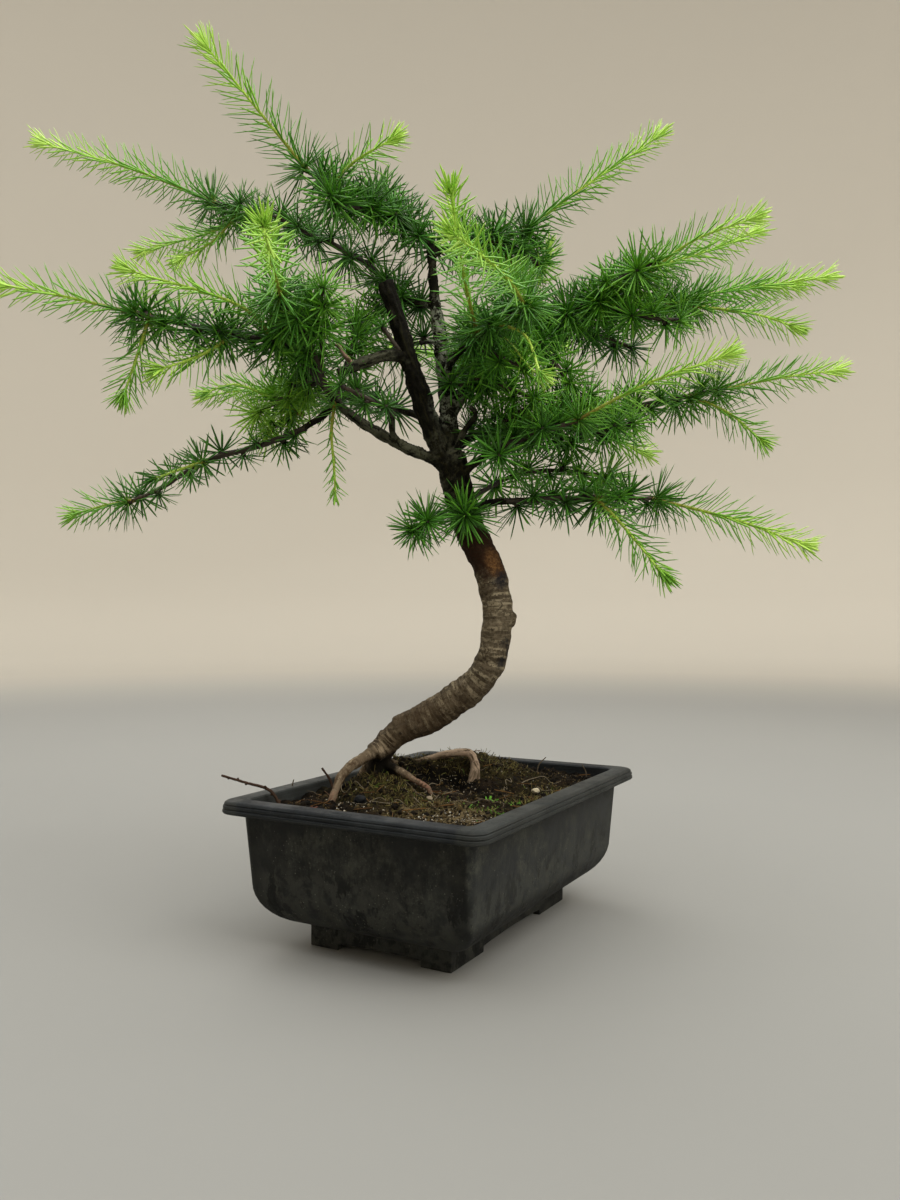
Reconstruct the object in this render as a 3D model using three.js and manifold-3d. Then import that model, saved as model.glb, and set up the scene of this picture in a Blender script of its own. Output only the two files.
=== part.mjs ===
// Larch bonsai in a rectangular training pot.
// Millimetres, +Z up. The long side of the pot runs along X. The origin is on the ground, below the
// centre of the whole plant's box.
// The tree is described in a frame of its own, turned about Z from the pot's: x to the viewer's right,
// y away from the viewer and z up, with its origin on the ground below the middle of the pot.

import * as THREE from 'three';
import { mergeVertices } from 'three/addons/utils/BufferGeometryUtils.js';
import Module from 'manifold-3d';

const kernel = await Module();
kernel.setup();

// Driving dimensions ---------------------------------------------------------------------------------

const GAP = 0.3;
const TURN = 2 * Math.PI;
const WELD = 1e-4;
const SEED = 20240611;
const RANDOM = { multiplier: 16807, modulus: 2147483647 };

const POT = {
  length: 240,
  width: 176,
  height: 90,
  rimCorner: 9,
  rimDrop: 8,
  wallInset: 10.4,
  wallThickness: 3,
  wallLean: 3,
  bellyRadius: 27,
  bellySteps: 4,
  floorTop: 17,
  floorBottom: 14,
  cornerSteps: 3,
};

const FEET = {
  inset: 39.6,
  thickness: 5,
  corner: 6,
  lengthAlongX: 40,
  lengthAlongY: 20,
  archClear: 9,
  archRise: 2,
  archSteps: 5,
  sunk: 2,
};

const DRAIN = { radius: 8, spacing: 90, sides: 16, reach: 4 };

const SOIL = {
  edgeHeight: 82.5,
  topRings: [1, 0.82, 0.62, 0.42, 0.2],
  sideStepsLong: 4,
  sideStepsShort: 3,
  ripple: 0.9,
  rippleLength: 17,
};

// Each mound adds height (mm) to the soil round a point of the tree frame; a hollow has a minus sign.
const MOUNDS = [
  { x: -46, y: 4, height: 10, spread: 26 },
  { x: 4, y: 58, height: 8, spread: 30 },
  { x: 60, y: 30, height: 3, spread: 30 },
  { x: 9, y: 24, height: -5, spread: 9 },
  { x: -14, y: 34, height: 6, spread: 11 },
];

const TREE_TURN = THREE.MathUtils.degToRad(-60.9);

const FINISH = {
  pot: { color: 0x34353a, roughness: 0.6 },
  soil: { color: 0x33291f, roughness: 1 },
  bark: { color: 0x6b5643, roughness: 0.9 },
  rosette: { color: 0x2f6b2e, roughness: 0.6 },
  shoot: { color: 0x8fc64a, roughness: 0.6 },
  pebble: { color: 0x8d857a, roughness: 0.8 },
  deadTwig: { color: 0x4a3728, roughness: 0.9 },
};

// Wood: sides of a tube, length of a step along it, and how far its bark stands in and out.
const WOOD = { sides: 5, step: 12, bark: 0.05, rings: 0.03, ringLength: 7 };
const BARK_RIDGES = [
  { count: 3, pitch: 11, share: 0.6 },
  { count: 2, pitch: -23, share: 0.4 },
];
const TRUNK_SIDES = 10;
const TRUNK_STEP = 8;
const LEADER_SIDES = 7;
const HOLE_EXTRA = 0.35;

const TWIG = { sides: 4, step: 14, tipRadius: 1.3 };
const ROSETTE = {
  knobRadius: 2.1,
  standOff: 0.3,
  spacing: 16,
  firstAt: 7,
  lastBefore: 1,
  lean: 0.35,
  needle: 22,
  needleRadius: 0.95,
  needleSpread: [0.86, 1.06],
  behind: -0.02,
  forwardPull: 0.3,
};
const GOLDEN_ANGLE = THREE.MathUtils.degToRad(137.5);

const SHOOT = {
  sides: 3,
  coreStart: 1.25,
  coreTip: 0.75,
  whorlSpacing: 10.3,
  whorlBand: 2.5,
  needle: 17,
  tipNeedle: 13,
  needleRadius: 0.75,
  needleSpread: [0.9, 1.1],
  spreadAtBase: THREE.MathUtils.degToRad(62),
  spreadAtTip: THREE.MathUtils.degToRad(26),
  jitter: 0.1,
};
const NEEDLE_TRIES = [1, 0.8, 0.6];
const START_SEARCH = { parentSteps: 60, stemSteps: 800 };
const PARALLEL = 1e-9;

// Routes -----------------------------------------------------------------------------------------------
// Each piece of wood, twig and shoot follows a smooth curve through a few points of the tree frame.

function named(pieces) {
  return Object.entries(pieces).map(([name, piece]) => ({ name, ...piece }));
}

const TRUNK = {
  name: 'trunk',
  radii: [10.5, 9.2],
  route: [
    [-55, 4, 100],
    [-40, 2, 119],
    [-4, -3, 137],
    [25, -10, 162],
    [33, -12, 196],
    [28, -7, 227],
    [16, -1, 254],
    [6, 0, 288],
    [3, 0, 304],
  ],
};

const ROOTS = named({
  root_left: {
    radii: [7, 3.4],
    route: [[-45, 3, 113], [-59, -8, 104], [-67, -20, 95], [-80, -40, 70]],
  },
  root_middle: { radii: [7, 3.6], route: [[-46, 4, 112], [-54, 9, 97], [-57, 15, 84], [-60, 19, 68]] },
  root_right: { radii: [6, 2.8], route: [[-38, 2, 114], [-25, 2, 101], [-14, -1, 89], [2, -8, 68]] },
  root_arch: {
    radii: [4.6, 2.8],
    route: [[-38, 6, 112], [-22, 20, 102], [-4, 30, 104], [14, 29, 106], [20, 24, 95], [17, 20, 68]],
  },
});

const LEADERS = named({
  leader_stub: {
    radii: [7.4, 4.7],
    route: [[3, 0, 294], [-8, -3, 317], [-19, -7, 348], [-32, -10, 392], [-39, -10, 413]],
  },
  leader_live: {
    radii: [6, 2.3],
    route: [[3, 1, 296], [2, 4, 320], [-1, 8, 361], [-7, 10, 405], [-11, 8, 449]],
  },
});

const LIMBS = named({
  dead_stub_left: { radii: [3.2, 2.6], route: [[-26, -8, 366], [-39, -16, 364], [-68, -26, 351]] },
  dead_spur_left: { radii: [1.6, 1.1], route: [[-58, -22, 356], [-64, -24, 363], [-69, -22, 372]] },
  hook_stub: { radii: [3, 1.5], route: [[4, -1, 300], [12, -13, 317], [19, -19, 326], [15, -22, 331]] },
  peg_upper: { radii: [1.9, 1.3], route: [[-4, 8, 378], [-10, -3, 377], [-17, -11, 373]] },
  peg_lower: { radii: [2, 1.4], route: [[-1, 8, 371], [4, 0, 370], [11, -6, 369]] },
  limb_left: {
    radii: [4.2, 2.4],
    route: [[-2, -1, 298], [-33, -12, 310], [-64, -20, 329], [-80, -26, 348]],
  },
  limb_low_left: { radii: [2.6, 2.1], route: [[-69, -22, 335], [-78, -14, 327], [-93, -6, 319]] },
  limb_back_left: { radii: [3, 2.3], route: [[-7, 10, 405], [-18, 15, 407], [-31, 22, 414]] },
  limb_top: { radii: [2.4, 2], route: [[-11, 8, 445], [-23, 6, 455], [-47, 0, 465]] },
  limb_right: { radii: [2.4, 2], route: [[-10, 8, 437], [3, 12, 445], [16, 16, 450]] },
  limb_right_main: { radii: [4, 2.4], route: [[1, 5, 333], [13, 13, 348], [36, 26, 374]] },
  limb_right_low: { radii: [3.6, 2.3], route: [[4, 2, 307], [18, 14, 318], [36, 24, 324]] },
  limb_front_right: { radii: [3.2, 2.2], route: [[6, -1, 284], [19, -10, 297], [37, -20, 306]] },
  limb_lowest_right: { radii: [3, 2.2], route: [[12, -1, 266], [28, -9, 271], [40, -10, 272]] },
  limb_low_small: { radii: [2.2, 1.8], route: [[12, 0, 262], [0, -9, 263], [-8, -15, 260]] },
  limb_back: { radii: [3.4, 2.2], route: [[1, 7, 341], [7, 45, 364], [14, 72, 379]] },
  limb_back_low: { radii: [3.2, 2.2], route: [[3, 4, 314], [-18, 28, 334], [-34, 42, 342]] },
  limb_mid_left: { radii: [2.4, 1.9], route: [[-10, -3, 320], [-22, -18, 320], [-34, -30, 324]] },
  limb_front: { radii: [2.8, 2.1], route: [[-1, 8, 357], [5, -10, 364], [14, -24, 369]] },
});

const SCAR = { place: [42, -12, 190], radius: 3.6, squash: 1.5 };

// A twig carries rosettes. from names the wood or the twig whose side or end it starts at.
const TWIGS = named({
  twig_left_main: {
    from: 'limb_left',
    radius: 2.3,
    route: [[-80, -26, 348], [-99, -30, 366], [-142, -40, 373], [-183, -55, 379]],
  },
  twig_low_left: {
    from: 'limb_low_left',
    radius: 2,
    route: [[-93, -6, 319], [-121, 6, 311], [-162, 20, 302], [-199, 30, 283], [-216, 34, 277]],
  },
  twig_back_left: {
    from: 'limb_back_left',
    radius: 2.2,
    route: [[-31, 22, 414], [-56, 34, 441], [-100, 52, 470], [-133, 64, 488], [-169, 76, 500]],
  },
  twig_top: { from: 'limb_top', radius: 1.9, route: [[-47, 0, 465], [-67, -8, 472], [-88, -16, 482]] },
  twig_right: { from: 'limb_right', radius: 1.9, route: [[16, 16, 450], [30, 20, 452], [52, 28, 460]] },
  twig_right_main: {
    from: 'limb_right_main',
    radius: 2.3,
    route: [[36, 26, 374], [61, 27, 391], [102, 10, 409], [127, 2, 418]],
  },
  twig_right_fork: {
    from: 'twig_right_main',
    radius: 1.8,
    route: [[92, 15, 405], [124, 22, 407], [146, 27, 410], [167, 32, 411]],
  },
  twig_right_low: {
    from: 'limb_right_low',
    radius: 2.2,
    route: [[36, 24, 324], [82, 38, 331], [136, 46, 345], [188, 54, 357]],
  },
  twig_front_right: {
    from: 'limb_front_right',
    radius: 2.1,
    route: [[37, -20, 306], [50, -26, 310], [79, -38, 318]],
  },
  twig_lowest_right: {
    from: 'limb_lowest_right',
    radius: 2.1,
    route: [[40, -10, 272], [89, -12, 274], [133, -8, 274]],
  },
  twig_low_small: {
    from: 'limb_low_small',
    radius: 1.7,
    tipRosette: true,
    route: [[-8, -15, 260], [-14, -19, 258], [-22, -24, 255]],
  },
  twig_mid_left: {
    from: 'limb_mid_left',
    radius: 1.8,
    tipRosette: true,
    route: [[-34, -30, 324], [-44, -36, 330], [-62, -42, 338]],
  },
  twig_left_crown: {
    from: 'limb_left',
    radius: 1.9,
    route: [[-76, -25, 343], [-82, -40, 362], [-90, -52, 377], [-97, -62, 386]],
  },
  twig_front: {
    from: 'limb_front',
    radius: 2,
    route: [[14, -24, 369], [28, -42, 375], [48, -58, 382]],
  },
  twig_back: { from: 'limb_back', radius: 2.1, route: [[14, 72, 379], [28, 108, 393], [42, 140, 402]] },
  twig_back_low: {
    from: 'limb_back_low',
    radius: 2.1,
    route: [[-34, 42, 342], [-70, 62, 354], [-110, 82, 363]],
  },
  spur_trunk: {
    from: 'trunk',
    radius: 1.7,
    tipRosette: true,
    route: [[12, 0, 266], [12, -12, 268], [12, -17, 269]],
  },
  spur_stub: {
    from: 'leader_stub',
    radius: 1.6,
    tipRosette: true,
    route: [[-24, -8, 362], [-33, -15, 372], [-38, -19, 380]],
  },
  spur_leader: {
    from: 'leader_live',
    radius: 1.6,
    tipRosette: true,
    route: [[0, 6, 348], [13, -1, 350], [22, -6, 352]],
  },
});

// A shoot is this year's growth, with needles all along it up to its tip.
const SHOOTS = named({
  shoot_left_main: {
    from: 'twig_left_main',
    route: [[-183, -55, 379], [-228, -62, 389], [-262, -68, 395]],
  },
  shoot_left_down: {
    from: 'twig_left_main',
    route: [[-178, -53, 378], [-181, -60, 359], [-189, -68, 322]],
  },
  shoot_left_inner: {
    from: 'twig_left_main',
    route: [[-132, -37, 371], [-148, -56, 354], [-176, -74, 339]],
  },
  shoot_left_mid: {
    from: 'twig_left_main',
    route: [[-104, -31, 367], [-120, -52, 387], [-188, -88, 403]],
  },
  shoot_low_left: { from: 'twig_low_left', route: [[-216, 34, 277], [-240, 39, 275], [-265, 44, 272]] },
  shoot_low_left_front: {
    from: 'twig_low_left',
    route: [[-162, 20, 302], [-169, 2, 296], [-184, -26, 284]],
  },
  shoot_hanging: {
    from: 'limb_left',
    route: [[-70, -22, 334], [-72, -24, 315], [-70, -26, 287], [-68, -27, 268]],
  },
  shoot_back_left: {
    from: 'twig_back_left',
    route: [[-169, 76, 500], [-229, 90, 530], [-312, 102, 560]],
  },
  shoot_back_left_low: {
    from: 'twig_back_left',
    route: [[-140, 67, 491], [-170, 92, 487], [-238, 126, 483]],
  },
  shoot_top: { from: 'twig_top', route: [[-88, -16, 482], [-115, -28, 514], [-149, -42, 560]] },
  shoot_top_right: { from: 'twig_top', route: [[-73, -11, 474], [-60, -22, 486], [-27, -32, 501]] },
  shoot_right: { from: 'twig_right', route: [[52, 28, 460], [93, 42, 496], [159, 60, 547]] },
  shoot_right_main: {
    from: 'twig_right_main',
    route: [[127, 2, 418], [159, -14, 442], [201, -30, 454]],
  },
  shoot_right_upper: {
    from: 'twig_right_main',
    route: [[116, 6, 414], [140, 28, 436], [184, 46, 454], [228, 60, 475]],
  },
  shoot_right_fork: { from: 'twig_right_fork', route: [[167, 32, 411], [211, 10, 398], [235, 0, 385]] },
  shoot_right_far: { from: 'twig_right_fork', route: [[150, 28, 410], [186, 40, 424], [269, 34, 433]] },
  shoot_right_low: { from: 'twig_right_low', route: [[188, 54, 357], [248, 66, 374], [294, 74, 380]] },
  shoot_right_low_drop: {
    from: 'twig_right_low',
    route: [[172, 51, 353], [198, 44, 340], [226, 40, 316]],
  },
  shoot_right_back: { from: 'twig_right_low', route: [[104, 42, 337], [114, 66, 328], [153, 98, 316]] },
  shoot_front_right: {
    from: 'twig_front_right',
    route: [[79, -38, 318], [122, -58, 340], [170, -78, 354]],
  },
  shoot_lowest_right: {
    from: 'twig_lowest_right',
    route: [[133, -8, 274], [186, -20, 258], [232, -30, 239]],
  },
  shoot_lowest_drop: {
    from: 'twig_lowest_right',
    route: [[96, -12, 274], [108, -30, 257], [134, -55, 215]],
  },
  shoot_viewer: { from: 'twig_front', route: [[20, -33, 372], [12, -62, 393], [3, -140, 424]] },
  shoot_viewer_right: { from: 'twig_front', route: [[48, -58, 382], [34, -92, 389], [4, -145, 395]] },
  shoot_viewer_low: { from: 'twig_front', route: [[32, -46, 376], [46, -66, 364], [53, -95, 334]] },
  shoot_viewer_left: {
    from: 'twig_left_crown',
    route: [[-97, -62, 386], [-96, -100, 394], [-91, -150, 396]],
  },
  shoot_back: { from: 'twig_back', route: [[42, 140, 402], [66, 172, 414], [98, 204, 428]] },
  shoot_back_side: { from: 'twig_back', route: [[26, 106, 392], [6, 140, 402], [-42, 190, 424]] },
  shoot_back_low: {
    from: 'twig_back_low',
    route: [[-110, 82, 363], [-150, 104, 369], [-187, 120, 368]],
  },
});

const PEBBLES = named({
  pebble_pale: { place: [58, -4, 84.6], radius: 3.4, roll: 0.4 },
  pebble_middle: { place: [-10, -34, 86], radius: 2.8, roll: 1.7 },
  pebble_dark: { place: [-52, -42, 86.4], radius: 4.2, roll: 2.9 },
});
const PEBBLE_SHAPE = [1, 0.8, 0.7];

const DRY_TWIGS = named({
  dry_twig_corner: {
    radii: [1.1, 0.7],
    route: [[-97, -46, 76], [-106, -44, 92], [-122, -42, 97], [-137, -40, 101]],
  },
  dry_twig_left: { radii: [0.9, 0.7], route: [[-73, -2, 77], [-75, 0, 90], [-81, 1, 99]] },
});
const DRY_TWIG_SIDES = 5;
const DRY_TWIG_STEP = 8;

// Solids ------------------------------------------------------------------------------------------------

function vector(place) {
  return new THREE.Vector3(...place);
}

function solidFrom(geometry) {
  const bare = geometry.clone();
  bare.deleteAttribute('normal');
  bare.deleteAttribute('uv');
  const welded = mergeVertices(bare, WELD);
  return new kernel.Manifold(new kernel.Mesh({
    numProp: 3,
    vertProperties: new Float32Array(welded.attributes.position.array),
    triVerts: new Uint32Array(welded.index.array),
  }));
}

function geometryFrom(solid) {
  const mesh = solid.getMesh();
  const geometry = new THREE.BufferGeometry();
  geometry.setAttribute('position', new THREE.BufferAttribute(new Float32Array(mesh.vertProperties), 3));
  geometry.setIndex(new THREE.BufferAttribute(new Uint32Array(mesh.triVerts), 1));
  return geometry;
}

function fuse(geometries) {
  const solids = geometries.map(solidFrom);
  return solids.reduce((whole, solid) => whole.add(solid));
}

function cut(solid, geometries) {
  return geometries.map(solidFrom).reduce((rest, tool) => rest.subtract(tool), solid);
}

// A closed surface is gathered as points and triangles; faces are listed anticlockwise from outside.
class Surface {
  constructor() {
    this.places = [];
    this.faces = [];
  }

  point(place) {
    this.places.push(place.x, place.y, place.z);
    return this.places.length / 3 - 1;
  }

  face(a, b, c) {
    this.faces.push(a, b, c);
  }

  at(index) {
    return new THREE.Vector3().fromArray(this.places, index * 3);
  }

  geometry() {
    const geometry = new THREE.BufferGeometry();
    geometry.setAttribute('position', new THREE.Float32BufferAttribute(this.places, 3));
    geometry.setIndex(this.faces);
    return geometry;
  }
}

// Joins rings of equal length into a closed skin, with a fan over the first and the last ring.
function loft(rings) {
  const surface = new Surface();
  const indices = rings.map((ring) => ring.map((place) => surface.point(place)));
  const count = rings[0].length;
  for (let level = 0; level + 1 < rings.length; level += 1) {
    for (let step = 0; step < count; step += 1) {
      const next = (step + 1) % count;
      const [a, b] = [indices[level][step], indices[level][next]];
      const [c, d] = [indices[level + 1][next], indices[level + 1][step]];
      surface.face(a, b, c);
      surface.face(a, c, d);
    }
  }
  closeRing(surface, indices[0], true);
  closeRing(surface, indices[indices.length - 1], false);
  return surface.geometry();
}

function closeRing(surface, ring, first) {
  const middle = new THREE.Vector3();
  ring.forEach((index) => middle.add(surface.at(index)));
  const hub = surface.point(middle.divideScalar(ring.length));
  ring.forEach((index, step) => {
    const next = ring[(step + 1) % ring.length];
    if (first) {
      surface.face(hub, next, index);
    } else {
      surface.face(hub, index, next);
    }
  });
}

// Seeded random draws -----------------------------------------------------------------------------------

function randomSource(seed) {
  let state = seed;
  return () => {
    state = (state * RANDOM.multiplier) % RANDOM.modulus;
    return state / RANDOM.modulus;
  };
}

const random = randomSource(SEED);

function between(lowest, highest) {
  return THREE.MathUtils.lerp(lowest, highest, random());
}

function jitter(size) {
  return new THREE.Vector3(random() - 0.5, random() - 0.5, random() - 0.5).multiplyScalar(2 * size);
}

// Tubes along a route -----------------------------------------------------------------------------------

function curveThrough(route) {
  return new THREE.CatmullRomCurve3(route.map(vector), false, 'centripetal');
}

// The part of a curve past a given length of it, as a curve of its own.
class CurveTail extends THREE.Curve {
  constructor(whole, start) {
    super();
    this.whole = whole;
    this.start = start;
  }

  getPoint(u, target = new THREE.Vector3()) {
    const share = Math.min(1, this.start + (1 - this.start) * u);
    return target.copy(this.whole.getPointAt(share));
  }
}

function ringRound(centre, normal, binormal, radiusAt, sides, phase = 0) {
  const ring = [];
  for (let side = 0; side < sides; side += 1) {
    const angle = phase + (side / sides) * TURN;
    const radius = radiusAt(angle);
    const across = normal.clone().multiplyScalar(Math.cos(angle) * radius);
    const along = binormal.clone().multiplyScalar(Math.sin(angle) * radius);
    ring.push(centre.clone().add(across).add(along));
  }
  return ring;
}

// How far the bark stands in or out, as a share of the radius: two windings of ridges and cross rings.
function barkRelief(along, angle) {
  const ridges = BARK_RIDGES.reduce((sum, { count, pitch, share }) => (
    sum + share * Math.sin(count * angle + along / pitch)
  ), 0);
  const rings = Math.sin((along / WOOD.ringLength) * TURN);
  return 1 + WOOD.bark * ridges + WOOD.rings * rings;
}

// A tapering tube with flat ends. grow widens and lengthens it, for the hole that it stands in.
function woodTube(piece, sides, stepLength, grow = 0) {
  const curve = curveThrough(piece.route);
  const length = curve.getLength();
  const steps = Math.max(2, Math.round(length / stepLength));
  const frames = curve.computeFrenetFrames(steps, false);
  const rings = [];
  for (let step = 0; step <= steps; step += 1) {
    const u = step / steps;
    const centre = curve.getPointAt(u);
    if (step === steps) {
      centre.addScaledVector(frames.tangents[step], grow);
    }
    const plain = THREE.MathUtils.lerp(piece.radii[0], piece.radii[1], u);
    const radiusAt = (angle) => plain * barkRelief(u * length, angle) + grow;
    rings.push(ringRound(centre, frames.normals[step], frames.binormals[step], radiusAt, sides));
  }
  return loft(rings);
}

// Places already taken ----------------------------------------------------------------------------------
// Wood, cores and needles are kept as cones, so that a new needle can be set clear of all of them.

const taken = [];

function keep(start, end, startRadius, endRadius, owner, family = owner) {
  taken.push({
    start,
    end,
    startRadius,
    endRadius,
    owner,
    family,
    middle: start.clone().add(end).multiplyScalar(0.5),
    reach: start.distanceTo(end) / 2 + Math.max(startRadius, endRadius),
  });
}

function keepAlong(curve, radiusAt, stepLength, owner) {
  const steps = Math.max(2, Math.round(curve.getLength() / stepLength));
  for (let step = 0; step < steps; step += 1) {
    const [from, to] = [step / steps, (step + 1) / steps];
    keep(curve.getPointAt(from), curve.getPointAt(to), radiusAt(from), radiusAt(to), owner);
  }
}

// Where the shortest line between two segments meets each of them, as shares of their lengths.
function nearestShares(a, b, c, d) {
  const first = b.clone().sub(a);
  const second = d.clone().sub(c);
  const between = a.clone().sub(c);
  const firstSquare = first.lengthSq();
  const secondSquare = second.lengthSq();
  const cross = first.dot(second);
  const firstOffset = first.dot(between);
  const secondOffset = second.dot(between);
  const spread = firstSquare * secondSquare - cross * cross;
  let share = spread > PARALLEL ? (cross * secondOffset - firstOffset * secondSquare) / spread : 0;
  share = THREE.MathUtils.clamp(share, 0, 1);
  let other = (cross * share + secondOffset) / secondSquare;
  if (other < 0 || other > 1) {
    other = THREE.MathUtils.clamp(other, 0, 1);
    share = THREE.MathUtils.clamp((cross * other - firstOffset) / firstSquare, 0, 1);
  }
  return [share, other];
}

function clearBetween(needle, cone) {
  const [share, other] = nearestShares(needle.root, needle.tip, cone.start, cone.end);
  const onNeedle = needle.root.clone().lerp(needle.tip, share);
  const onCone = cone.start.clone().lerp(cone.end, other);
  const needleRadius = needle.radius * (1 - share);
  const coneRadius = THREE.MathUtils.lerp(cone.startRadius, cone.endRadius, other);
  return onNeedle.distanceTo(onCone) - needleRadius - coneRadius;
}

// Needles of one rosette or whorl are one family: they spread from each other and aren't compared.
function isClear(needle, owner, family) {
  const middle = needle.root.clone().add(needle.tip).multiplyScalar(0.5);
  const reach = needle.root.distanceTo(needle.tip) / 2 + needle.radius + GAP;
  return taken.every((cone) => {
    const related = cone.family === family || (cone.owner === owner && cone.endRadius > 0);
    if (related || middle.distanceTo(cone.middle) > reach + cone.reach) {
      return true;
    }
    return clearBetween(needle, cone) > GAP;
  });
}

function ballIsClear(centre, radius, owner) {
  return taken.every((cone) => {
    if (cone.owner === owner || centre.distanceTo(cone.middle) > radius + cone.reach + GAP) {
      return true;
    }
    const along = new THREE.Line3(cone.start, cone.end);
    const share = along.closestPointToPointParameter(centre, true);
    const coneRadius = THREE.MathUtils.lerp(cone.startRadius, cone.endRadius, share);
    return along.at(share, new THREE.Vector3()).distanceTo(centre) - radius - coneRadius > GAP;
  });
}

// A needle from root along direction, shortened or left out where something else is in its way.
function growNeedle(root, direction, length, radius, owner, family) {
  for (const share of NEEDLE_TRIES) {
    const needle = { root, tip: root.clone().addScaledVector(direction, length * share), radius };
    if (isClear(needle, owner, family)) {
      keep(needle.root, needle.tip, radius, 0, owner, family);
      return needle.tip;
    }
  }
  return null;
}

// Raises a three-sided needle on one face of a core, or leaves the face flat.
function raiseNeedle(surface, corners, direction, length, radius, owner, family) {
  const root = new THREE.Vector3();
  corners.forEach((index) => root.add(surface.at(index)));
  root.divideScalar(corners.length);
  const tip = growNeedle(root, direction, length, radius, owner, family);
  if (tip === null) {
    surface.face(...corners);
    return;
  }
  const apex = surface.point(tip);
  corners.forEach((index, step) => surface.face(index, corners[(step + 1) % corners.length], apex));
}

// Where a stem starts -----------------------------------------------------------------------------------

// A tube's flat sides lie closer to its axis than its edges do; this is the share halfway between.
function meanReach(sides) {
  return (1 + Math.cos(TURN / (2 * sides))) / 2;
}

// How far a flat end of a stem is from the tube that it grows from.
function endClearance(place, tangent, radius, parent) {
  let best = Infinity;
  for (let step = 0; step <= START_SEARCH.parentSteps; step += 1) {
    const u = step / START_SEARCH.parentSteps;
    const axisPlace = parent.curve.getPointAt(u);
    const towards = axisPlace.clone().sub(place);
    const distance = towards.length();
    const tilt = Math.sqrt(Math.max(0, 1 - (towards.dot(tangent) / distance) ** 2));
    best = Math.min(best, distance - radius * tilt - parent.radiusAt(u) * meanReach(parent.sides));
  }
  const end = parent.curve.getPointAt(1);
  const endTangent = parent.curve.getTangentAt(1);
  const past = place.clone().sub(end).dot(endTangent);
  const lean = Math.sqrt(Math.max(0, 1 - tangent.dot(endTangent) ** 2));
  return Math.max(best, past - radius * lean);
}

// The share of a stem's route that is left out, so that it starts just clear of its parent.
function clearStart(curve, radius, parent) {
  for (let step = 0; step < START_SEARCH.stemSteps; step += 1) {
    const u = step / START_SEARCH.stemSteps;
    if (endClearance(curve.getPointAt(u), curve.getTangentAt(u), radius, parent) >= GAP) {
      return u;
    }
  }
  throw new Error('a stem never leaves its parent');
}

const stems = new Map();

function plantStem({ name, route, from }, startRadius, tipRadius, sides, stepLength) {
  const whole = curveThrough(route);
  const start = clearStart(whole, startRadius * meanReach(sides), stems.get(from));
  const curve = new CurveTail(whole, start);
  const radiusAt = (u) => THREE.MathUtils.lerp(startRadius, tipRadius, u);
  stems.set(name, { curve, radiusAt, sides });
  keepAlong(curve, radiusAt, stepLength, name);
}

// Twigs with rosettes -----------------------------------------------------------------------------------

function twigCore(twig) {
  const { curve, radiusAt } = stems.get(twig.name);
  const steps = Math.max(2, Math.round(curve.getLength() / TWIG.step));
  const frames = curve.computeFrenetFrames(steps, false);
  const rings = [];
  for (let step = 0; step <= steps; step += 1) {
    const u = step / steps;
    rings.push(ringRound(
      curve.getPointAt(u),
      frames.normals[step],
      frames.binormals[step],
      () => radiusAt(u),
      TWIG.sides,
    ));
  }
  return loft(rings);
}

// The small round spur from which a rosette's needles spread, with a needle raised on each outer face.
function rosette(centre, axis, owner, family) {
  const ball = mergeVertices(stripped(new THREE.IcosahedronGeometry(ROSETTE.knobRadius, 0)), WELD);
  const turn = new THREE.Quaternion().setFromUnitVectors(new THREE.Vector3(0, 0, 1), axis);
  const roll = new THREE.Quaternion().setFromAxisAngle(axis, random() * TURN);
  const surface = new Surface();
  const positions = ball.attributes.position;
  for (let index = 0; index < positions.count; index += 1) {
    const place = new THREE.Vector3().fromBufferAttribute(positions, index);
    surface.point(place.applyQuaternion(turn).applyQuaternion(roll).add(centre));
  }
  const faces = ball.index.array;
  for (let index = 0; index < faces.length; index += 3) {
    const corners = [faces[index], faces[index + 1], faces[index + 2]];
    const outward = new THREE.Vector3();
    corners.forEach((corner) => outward.add(surface.at(corner)));
    outward.divideScalar(3).sub(centre).normalize();
    if (outward.dot(axis) < ROSETTE.behind) {
      surface.face(...corners);
      continue;
    }
    const direction = outward.addScaledVector(axis, ROSETTE.forwardPull).normalize();
    const length = ROSETTE.needle * between(...ROSETTE.needleSpread);
    raiseNeedle(surface, corners, direction, length, ROSETTE.needleRadius, owner, family);
  }
  keep(centre, centre.clone().addScaledVector(axis, WELD), ROSETTE.knobRadius, ROSETTE.knobRadius, owner);
  return surface.geometry();
}

function stripped(geometry) {
  geometry.deleteAttribute('normal');
  geometry.deleteAttribute('uv');
  return geometry;
}

function rosettePlaces(twig, order) {
  const { curve, radiusAt } = stems.get(twig.name);
  const length = curve.getLength();
  const places = [];
  for (let along = ROSETTE.firstAt; along < length - ROSETTE.lastBefore; along += ROSETTE.spacing) {
    const u = along / length;
    const tangent = curve.getTangentAt(u);
    const side = new THREE.Vector3(0, 0, 1).cross(tangent).normalize();
    const up = tangent.clone().cross(side).normalize();
    const angle = (places.length + order) * GOLDEN_ANGLE;
    const axis = up.multiplyScalar(Math.cos(angle)).addScaledVector(side, Math.sin(angle));
    const centre = curve.getPointAt(u);
    centre.addScaledVector(axis, radiusAt(u) + ROSETTE.standOff * ROSETTE.knobRadius);
    axis.addScaledVector(tangent, ROSETTE.lean).normalize();
    places.push({ centre, axis });
  }
  if (twig.tipRosette) {
    places.push({ centre: curve.getPointAt(1), axis: curve.getTangentAt(1) });
  }
  return places.filter(({ centre }) => ballIsClear(centre, ROSETTE.knobRadius, twig.name));
}

function leafyTwig(twig, order) {
  const knobs = rosettePlaces(twig, order).map(({ centre, axis }, index) => (
    rosette(centre, axis, twig.name, `${twig.name}/${index}`)
  ));
  return geometryFrom(fuse([twigCore(twig), ...knobs]));
}

// Bright shoots -----------------------------------------------------------------------------------------

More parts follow.
